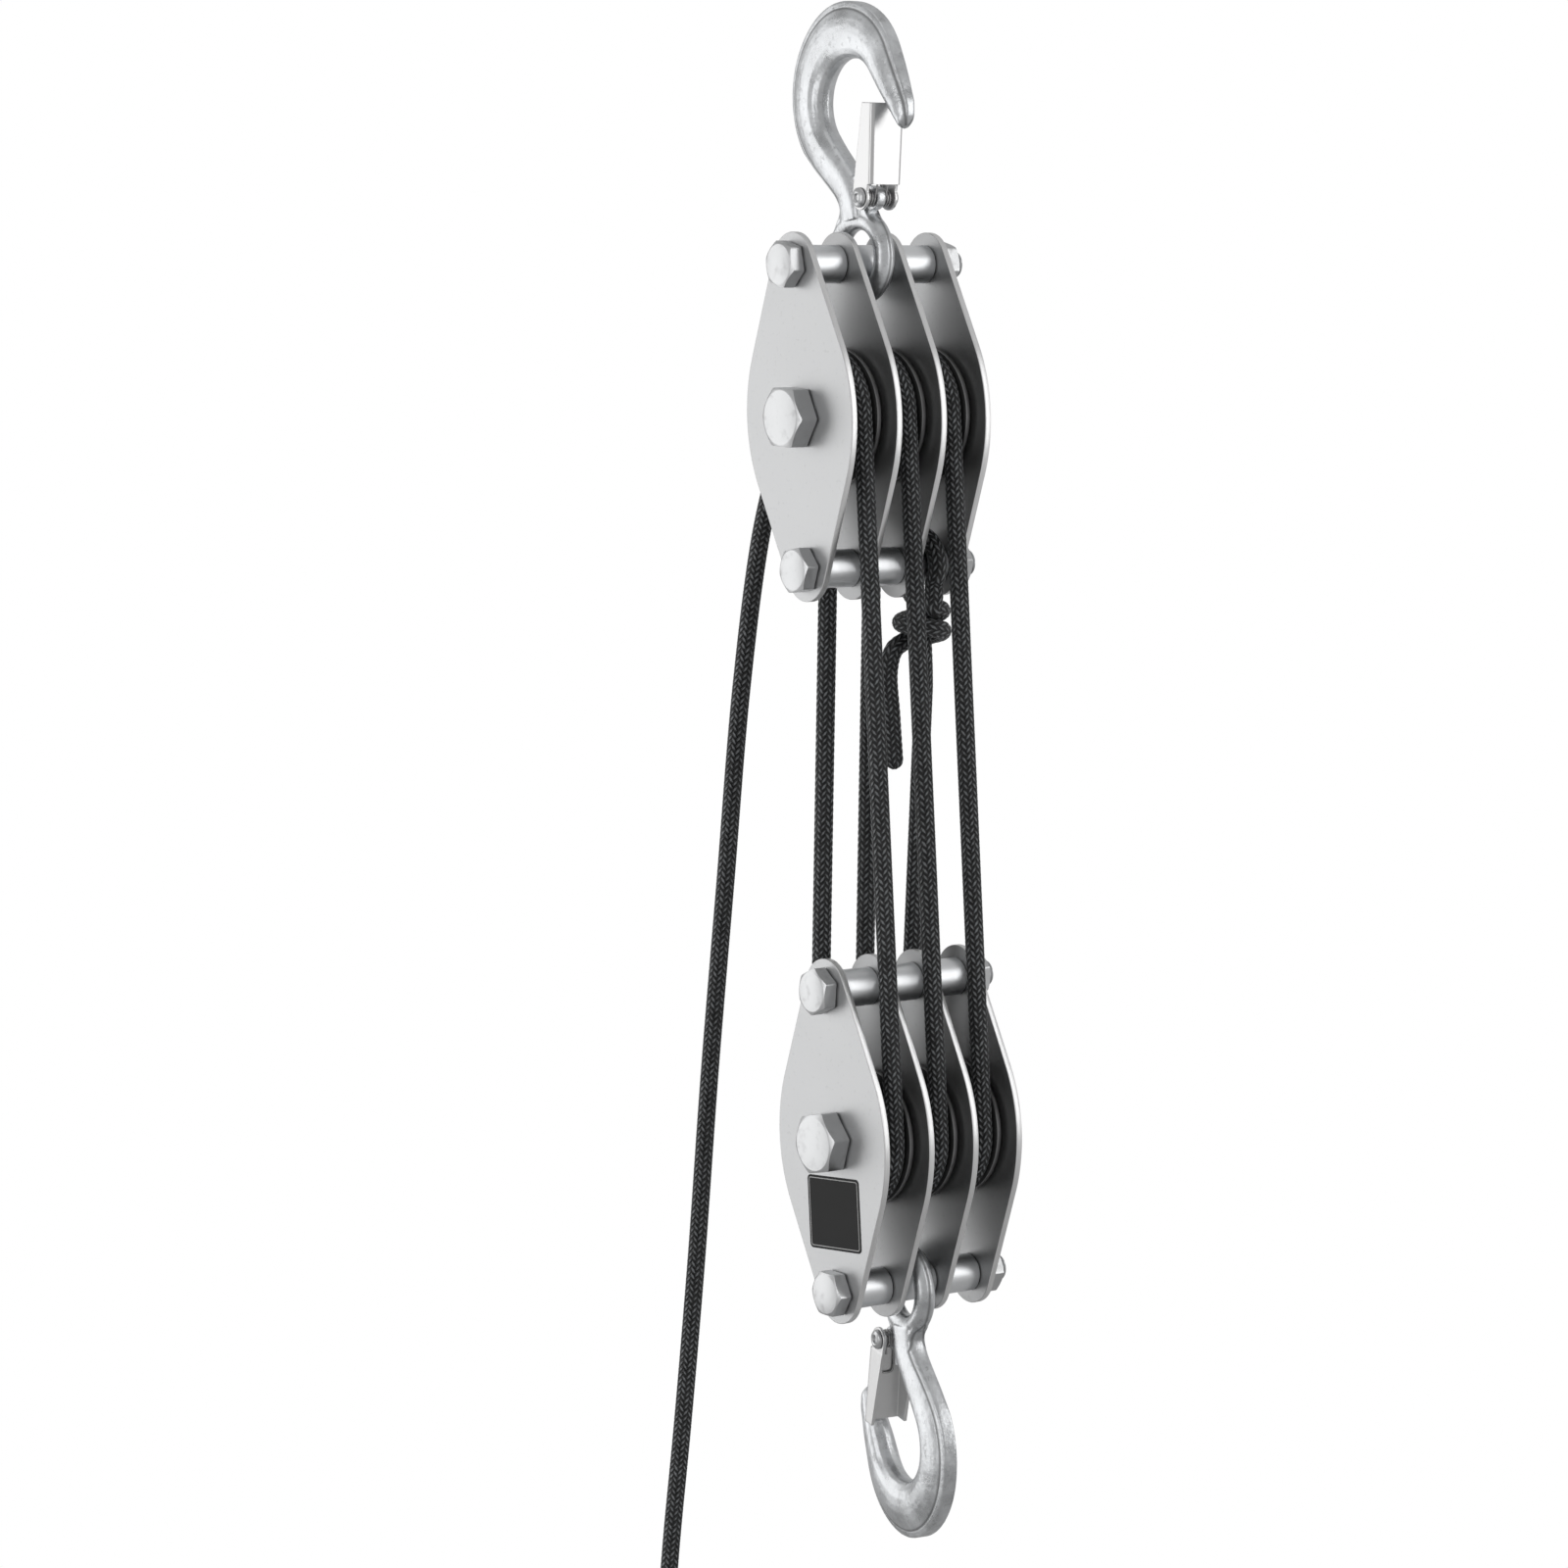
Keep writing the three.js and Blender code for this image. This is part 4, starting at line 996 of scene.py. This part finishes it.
def latch_mesh():
    rings = []
    for i in range(31):
        z = WEB_START + (LATCH_LONG - WEB_START) * i / 30
        rings.append(u_section(z, (z - LATCH_LONG) * EAR_RADIUS / LATCH_LONG))
    ear = arc(0, 0, EAR_RADIUS, math.radians(170), math.radians(220), 30)
    ear += [(LATCH_REACH - BEND, WEB_START + 2.0), (-5.6, WEB_START + 2.0)]
    near = latch_half(0)
    ears = [prism(ear, -near, SHEET - near), prism(ear, near - SHEET, near)]
    return fused("latch", [capped(rings)] + ears, voxel=0.32, passes=3)


def rivet_skin():
    half = latch_half(RIVET_HEAD) + SEAT_GAP
    head = [(0.0, half + 0.7), (1.6, half + 0.8), (2.2, half + 1.7), (3.0, half + RIVET_HIGH),
            (4.3, half + 1.6), (5.0, half + 0.9), (RIVET_HEAD, half + 0.4), (RIVET_HEAD, half),
            (RIVET_RADIUS, half)]
    return revolve([(r, -y) for r, y in head] + list(reversed(head)), 48)


def latch_lean():
    normal = towards(TIP_ANGLE)
    root = BOWL + normal * BOWL_RADIUS
    room = root.dot(normal) - PIVOT.dot(normal) - SEAT_GAP
    span = math.hypot(LATCH_REACH, LATCH_LONG)
    return math.atan2(LATCH_LONG, LATCH_REACH) - math.acos(room / span) - math.radians(TIP_ANGLE)


latch_master = dressed(latch_mesh(), "latch_sheet")
LATCH_PLACES = {}
for block, place in HOOK_PLACES.items():
    pin = place @ shift(PIVOT.x, 0, PIVOT.y)
    LATCH_PLACES[block] = pin @ Matrix.Rotation(latch_lean(), 4, "Y")
    made = add_object(f"{block}_latch_dress", f"{block}_latch", latch_master.copy(), "zinc",
                      LATCH_PLACES[block], sharp=50.0)
    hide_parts(f"{block}_latch")
    made = make_piece(f"{block}_rivet_dress", f"{block}_hook", [(*rivet_skin(), "bright_zinc")],
                      "zinc", pin)
    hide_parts(f"{block}_latch_rivet")
print("latch points", len(latch_master.vertices), "lean", round(math.degrees(latch_lean()), 1))

# %% [markdown]
# A spring wound from one wire shuts the latch. Its route is a tail, two and a half curls, a bar
# behind the web and the same again, smoothed into one curve, with a round section swept along.

# %% Latch springs
WIRE, SPRING_ORBIT, SPRING_PITCH, SPRING_TAIL, BAR_RISE = 1.1, 4.4, 1.56, 7.0, 22.0


def smooth_route(points, spacing):
    """Centripetal Catmull-Rom curve through points, at an even spacing."""
    points = [Vector(p) for p in points]
    points = [points[0] * 2 - points[1]] + points + [points[-1] * 2 - points[-2]]
    route = []
    for a, b, c, d in zip(points, points[1:], points[2:], points[3:]):
        knots = [0.0]
        for p, q in ((a, b), (b, c), (c, d)):
            knots.append(knots[-1] + max((q - p).length, 1e-6) ** 0.5)
        t0, t1, t2, t3 = knots
        count = max(2, int((c - b).length / spacing * 2))
        for i in range(count):
            t = t1 + (t2 - t1) * i / count
            a1 = a.lerp(b, (t - t0) / (t1 - t0))
            a2 = b.lerp(c, (t - t1) / (t2 - t1))
            a3 = c.lerp(d, (t - t2) / (t3 - t2))
            b1 = a1.lerp(a2, (t - t0) / (t2 - t0))
            b2 = a2.lerp(a3, (t - t1) / (t3 - t1))
            route.append(b1.lerp(b2, (t - t1) / (t2 - t1)))
    route.append(points[-2])
    return route


def swept(points, diameter, sides):
    rings = []
    side = None
    for i, point in enumerate(points):
        along = (points[min(i + 1, len(points) - 1)] - points[max(i - 1, 0)]).normalized()
        if side is None:
            side = along.orthogonal().normalized()
        side = (side - along * side.dot(along)).normalized()
        other = along.cross(side)
        rings.append([tuple(point + (side * math.cos(2 * math.pi * k / sides)
                                     + other * math.sin(2 * math.pi * k / sides)) * diameter / 2)
                      for k in range(sides)])
    return capped(rings)


def spring_route():
    wire = WIRE / 2
    outer = LATCH_ROOT_HALF - SHEET - SEAT_GAP - wire
    inner = outer - 2.5 * SPRING_PITCH
    bar = LATCH_REACH - SHEET - SEAT_GAP - wire
    half = [(-SPRING_ORBIT - wire, outer, SPRING_TAIL), (-SPRING_ORBIT, outer, SPRING_TAIL / 2)]
    for i in range(61):
        turn = math.pi + 2 * math.pi * i / 24
        half.append((SPRING_ORBIT * math.cos(turn), outer + (inner - outer) * i / 60,
                     SPRING_ORBIT * math.sin(turn)))
    half += [(bar, inner, SPRING_ORBIT * 2), (bar, inner, BAR_RISE - WIRE),
             (bar, inner - WIRE, BAR_RISE)]
    return smooth_route(half + [(x, -y, z) for x, y, z in reversed(half)], 0.5)


for block in BLOCKS:
    made = make_piece(f"{block}_spring_dress", f"{block}_latch",
                      [(*swept(spring_route(), WIRE, 10), "spring_wire")], "spring",
                      LATCH_PLACES[block], sharp=0)
    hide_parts(f"{block}_latch_spring")
print("spring route points", len(spring_route()))

# %% [markdown]
# The rope is black and ten millimetres thick. Strands of its plait as meshes would cost millions
# of faces, so a Geometry Nodes tree sweeps a round section along the route, lifts its points by
# the weave, and stores turn and length for the finish, which draws the stitches more finely.

# %% Braided rope by Geometry Nodes
BRAID = {"Radius": 4.75, "Step": 0.72, "Around": 64, "Relief": 0.56}
COIL_PITCH, COIL_ORBIT, COIL_TURNS, COIL_STEPS = 10.7, 10.7, 1.5, 42


def braid_tree():
    graph, given = new_tree("braided rope", {
        "Radius": "Float", "Step": "Float", "Around": "Int", "Relief": "Float",
        "Material": "Material"})

    def store(geometry, name, value, kind="FLOAT"):
        return graph.node("GeometryNodeStoreNamedAttribute", {
            "Geometry": geometry, "Name": name, "Value": value}, data_type=kind, domain="POINT")

    def stored(name):
        return graph.node("GeometryNodeInputNamedAttribute", {"Name": name}, data_type="FLOAT")

    line = graph.node("GeometryNodeResampleCurve", {
        "Curve": given["Geometry"], "Length": given["Step"]}, mode="LENGTH")
    line = store(line, "along", graph.node("GeometryNodeSplineParameter", out="Length"))
    section = graph.node("GeometryNodeCurvePrimitiveCircle", {
        "Resolution": given["Around"], "Radius": given["Radius"]})
    section = store(section, "round", graph.node("GeometryNodeSplineParameter", out="Factor"))
    rope = graph.node("GeometryNodeCurveToMesh", {
        "Curve": line, "Profile Curve": section, "Fill Caps": True,
        "Scale": graph.node("GeometryNodeInputRadius")})
    along, turn = stored("along"), stored("round")
    height = weave(graph, turn, along)[0]
    angle = turn * (2 * math.pi)
    spots = graph.node("ShaderNodeCombineXYZ", {
        "X": graph.maths("COSINE", angle), "Y": graph.maths("SINE", angle), "Z": along})
    rope = store(rope, "weave", spots, "FLOAT_VECTOR")
    lift = graph.node("ShaderNodeVectorMath", {
        0: graph.node("GeometryNodeInputNormal"),
        "Scale": (height - 0.5) * given["Relief"]}, operation="SCALE")
    rope = graph.node("GeometryNodeSetPosition", {"Geometry": rope, "Offset": lift})
    rope = graph.node("GeometryNodeSetShadeSmooth", {"Geometry": rope})
    return end_tree(graph, rope, given["Material"])


braided = braid_tree()


def rope_mesh(name, route, sealed=False):
    """A braided rope along a route. A sealed end is melted to a dome, as cut rope is."""
    curve = bpy.data.curves.new(name, "CURVE")
    curve.dimensions = "3D"
    spline = curve.splines.new("POLY")
    spline.points.add(len(route) - 1)
    for point, spot in zip(spline.points, route):
        point.co = (*spot, 1)
        from_end = (route[-1] - spot).length / (ROPE / 2)
        if sealed and from_end < 1:
            point.radius = max(0.2, math.sqrt(1 - (1 - from_end) ** 2))
    return grown_mesh(name, braided, curve, {**BRAID, "Material": FINISHES["braid"]})


def orbit(axle, y, start, end, steps):
    """The rope's way round a sheave, from one angle to another."""
    spots = arc(0, axle, ROPE_ORBIT, math.radians(start), math.radians(end - start), steps)
    return [Vector((x, y, z)) for x, z in spots]


def coil(at, top):
    """Turns of rope round a standing part. at(x, y, z) places a point about that part."""
    route = []
    for i in range(COIL_STEPS + 1):
        turn = 2 * math.pi * COIL_TURNS * i / COIL_STEPS
        route.append(at(COIL_ORBIT * math.cos(turn), COIL_ORBIT * math.sin(turn),
                        top - COIL_PITCH * COIL_TURNS * i / COIL_STEPS))
    return route


print("braid", BRAID)

# %% [markdown]
# Six falls hang between the blocks.

# %% Falls
HAUL_LEAVE = 163.0
HITCH_DROP, HITCH_TAIL = 6.4, 68.0
BECKET = UPPER_AXLE - BOLT_REACH
HITCH_TOP = BECKET - END_RADIUS - HITCH_DROP
HITCH_END = HITCH_TOP - COIL_TURNS * COIL_PITCH
HITCH_FOOT = HITCH_END - ROPE
QUARTER = 30


def last_fall(y):
    straight = HITCH_FOOT - ROPE
    lean = math.degrees(math.asin(ROPE_ORBIT / (straight - LOWER_AXLE)))
    start = [Vector((0, y, HITCH_FOOT)), Vector((0, y, straight + ROPE / 2)),
             Vector((-ROPE_ORBIT / 60, y, straight - ROPE / 2))]
    return start + orbit(LOWER_AXLE, y, 180 - lean, 270, QUARTER)


falls = {}
for i, y in enumerate(BAYS):
    top = HAUL_LEAVE if i == 0 else 90.0
    falls[f"front_fall_{i + 1}"] = (y, orbit(UPPER_AXLE, y, top, 0, 2 * QUARTER)
                                    + orbit(LOWER_AXLE, y, 0, -90, QUARTER))
    if i < 2:
        falls[f"back_fall_{i + 1}"] = (y, orbit(LOWER_AXLE, y, -90, -180, QUARTER)
                                       + orbit(UPPER_AXLE, BAYS[i + 1], 180, 90, QUARTER))
falls["back_fall_3"] = (BAYS[2], last_fall(BAYS[2]))
for name, (y, route) in falls.items():
    made = add_object(f"{name}_dress", None, rope_mesh(name, route), "rope", sharp=0)
    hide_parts(name)
    top = UPPER_AXLE if name != "back_fall_3" else HITCH_FOOT
    top * MM
    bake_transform(made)
print("falls", ", ".join(falls))

# %% [markdown]
# The rope's fixed end is hitched round a spacer of the upper block: up, over, down, one and a
# half turns round its own standing part, and a tail. The turns are a formula, and the tail is a
# few listed points.

# %% Becket hitch
def hitch_route():
    y0 = BAYS[2]
    over = 10.0 + ROPE / 2 + 0.7

    def at(x, y, z):
        return Vector((x, y0 + y, z))

    route = [at(0, 0, HITCH_FOOT), at(0, 0, HITCH_FOOT + ROPE / 2), at(0, 0, HITCH_END),
             at(0, 0, HITCH_TOP), at(-over * 0.3, 0, HITCH_TOP + ROPE / 2)]
    route += [at(x, 0, z) for x, z in arc(0, BECKET, over, math.radians(220),
                                          math.radians(-258), 13)]
    route.append(at(COIL_ORBIT * 1.08, 0, HITCH_TOP + ROPE / 2 * 1.3))
    route += coil(at, HITCH_TOP)
    route += [
        at(-COIL_ORBIT, -ROPE / 4, HITCH_END - ROPE / 16),
        at(-COIL_ORBIT * 1.1, -ROPE, HITCH_END - ROPE / 2),
        at(-COIL_ORBIT * 1.2, -ROPE * 1.35, HITCH_END - ROPE * 1.6),
        at(-COIL_ORBIT * 1.1, -ROPE * 1.4, HITCH_END - HITCH_TAIL * 0.6),
        at(-COIL_ORBIT * 0.9, -ROPE * 1.5, HITCH_END - HITCH_TAIL)]
    return smooth_route(route, 1.0)


hitch = add_object("becket_hitch_dress", "upper_block", rope_mesh("hitch", hitch_route(), True),
                   "rope", sharp=0)
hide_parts("becket_hitch")
print("hitch points", len(hitch.data.vertices))

# %% [markdown]
# The hauling line bows out from the upper block, as a line does that is pulled to one side. It
# ends just below the view in a stopper knot, a double overhand that keeps it from running out.

# %% Hauling line
HAUL_ROUTE = [  # how far out from the upper axle, and how far below it
    (61, 62), (84, 140), (107, 245), (130, 350), (151, 455), (172, 550), (186, 608), (193, 640)]
STOPPER_BEND = 5.4


def haul_route():
    y = BAYS[0]
    leave = orbit(UPPER_AXLE, y, HAUL_LEAVE, HAUL_LEAVE, 1)[0]
    run = towards(HAUL_LEAVE + 90)
    route = [leave, leave + Vector((run.x, 0, run.y)) * 2 * ROPE]
    route += [Vector((-out, y, UPPER_AXLE - below)) for out, below in HAUL_ROUTE]
    line = smooth_route(route, 4.0)
    end = line[-1]
    down = (end - line[-2]).normalized()
    side = Vector((0, 1, 0))
    out = side.cross(down).normalized()
    wrap = COIL_TURNS * COIL_PITCH + ROPE
    foot = wrap + ROPE / 2

    def local(x, along_y, z):
        return end + out * x + side * along_y + down * z

    knot = [local(0, 0, wrap * 0.5), local(0, 0, wrap), local(0, 0, foot)]
    bend = arc(STOPPER_BEND, foot, STOPPER_BEND, math.pi, -math.pi, 12)[1:]
    knot += [local(x, 0, z) for x, z in bend]
    return smooth_route(line + knot + coil(local, wrap), 1.0)


haul = haul_route()
haul_length = sum((b - a).length for a, b in zip(haul, haul[1:])) * MM
hauling = add_object("hauling_line_dress", "upper_block", rope_mesh("haul", haul, True),
                     "rope", sharp=0)
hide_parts("hauling_line")
haul[0] * MM
[p * MM for p in haul]
print("hauling line", round(haul_length, 3), "m")

# %% [markdown]
# A dark label lies on the lower front plate. It stays bare but for a thin border, and a flat
# curve makes both, standing a fraction of a millimetre proud of the plate as foil does.

# %% Label
LABEL_CENTRE, LABEL_SIZE, LABEL_CORNER = (0.0, -37.8), (44.0, 38.6), 2.5
BORDER_INSET, BORDER_WIDE = 1.2, 0.45


def rounded_box(width, height, corner):
    outline = []
    for k, (sx, sz) in enumerate(((1, 1), (-1, 1), (-1, -1), (1, -1))):
        outline += arc(sx * (width / 2 - corner), sz * (height / 2 - corner), corner,
                       k * math.pi / 2, math.pi / 2, 8)
    return outline


def add_label(name, outlines, thickness, look, proud):
    mesh = dressed(flat_mesh(name, outlines, thickness, edge=0.03), look)
    place = shift(LABEL_CENTRE[0], -STACK_HALF - proud, LOWER_AXLE + LABEL_CENTRE[1])
    return add_object(name, "lower_block", mesh, "cheek", place, sharp=40.0)


add_label("label_panel", [rounded_box(*LABEL_SIZE, LABEL_CORNER)], 0.2, "label_ink", proud=0.1)
border = []
for inset, corner in ((BORDER_INSET, 1.0), (BORDER_INSET + BORDER_WIDE, 1.4)):
    width, height = (size - 2 * inset for size in LABEL_SIZE)
    border.append(rounded_box(width, height, LABEL_CORNER - corner))
add_label("label_border", border, 0.1, "label_line", proud=0.23)
print("label", LABEL_SIZE)

# %% [markdown]
# The stage is a plain pale floor and soft studio light, as in a product photograph. A key lamp
# beyond the right makes the plates' cut edges shine, and a broad lamp at the left is what their
# flat faces mirror. A lamp near the camera and a weak one above fill the rest. The background is
# pure white to the camera, half as bright in mirror-like metal, and dimmer still as a light.

# %% Stage and light
WORLD_LIGHT, WORLD_GLOSS = 0.25, 0.5
FLOOR_RADIUS, FLOOR_DROP, FLOOR_COVER = 0.72, 0.1, 0.6
LAMPS = {  # azimuth, elevation, distance in metres, width and height, power
    "key": (124, 12, 1.6, (0.6, 1.4), 4.5),
    "plate side": (-54, 4, 1.7, (1.2, 1.8), 7.3),
    "front": (5, 6, 1.9, (0.6, 1.4), 4.1),
    "top": (60, 80, 1.4, (0.8, 0.8), 0.7)}


def add_floor():
    """A pale disc under the tackle that keeps its shadow and fades to the white background."""
    mesh = bpy.data.meshes.new("floor")
    rim = hole(0, FLOOR_RADIUS, 96)
    mesh.from_pydata([(x, y, 0) for x, y in rim], [], [range(len(rim))])
    floor = put("floor", mesh)
    floor.location.z = cad_box[0].z - FLOOR_DROP
    material = bpy.data.materials.new("floor paper")
    material.use_nodes = True
    graph = Graph(material.node_tree)
    place = graph.node("ShaderNodeTexCoord", out="Object")
    out = graph.node("ShaderNodeVectorMath", {0: place}, "Value", operation="LENGTH")
    fade = graph.node("ShaderNodeMapRange", {
        "Value": out, "From Min": FLOOR_RADIUS * 0.3, "From Max": FLOOR_RADIUS * 0.95},
        interpolation_type="SMOOTHSTEP")
    seen = graph.node("ShaderNodeLightPath", out="Is Camera Ray")
    mixed = graph.node("ShaderNodeMixShader", {
        0: seen * (FLOOR_COVER + fade * (1 - FLOOR_COVER)),
        1: graph.node("ShaderNodeBsdfDiffuse", {"Color": grey(0.85)}),
        2: graph.node("ShaderNodeEmission", {"Color": grey(1.0), "Strength": 1.0})})
    graph.plug(graph.tree.nodes["Material Output"].inputs["Surface"], mixed)
    mesh.materials.append(material)


def add_lamp(name, azimuth, elevation, distance, size, power):
    data = bpy.data.lights.new(name, "AREA")
    data.shape, data.size, data.size_y, data.energy = "RECTANGLE", *size, power
    lamp = put(name, data)
    way = way_to(azimuth, elevation)
    lamp.location = (cad_box[0] + cad_box[1]) / 2 + way * distance
    lamp.rotation_euler = way.to_track_quat("Z", "Y").to_euler()


def add_world():
    world = bpy.data.worlds.new("studio")
    world.use_nodes = True
    bpy.context.scene.world = world
    graph = Graph(world.node_tree)
    camera_ray = graph.node("ShaderNodeLightPath", out="Is Camera Ray")
    glossy_ray = graph.node("ShaderNodeLightPath", out="Is Glossy Ray")
    seen = graph.maths("MAXIMUM", camera_ray, glossy_ray * WORLD_GLOSS)
    sky = world.node_tree.nodes["Background"].inputs
    graph.plug(sky["Color"], grey(1.0))
    graph.plug(sky["Strength"], graph.maths("MAXIMUM", seen, WORLD_LIGHT))


add_floor()
add_world()
for name, lamp in LAMPS.items():
    add_lamp(name, *lamp)
print("lamps", ", ".join(LAMPS))
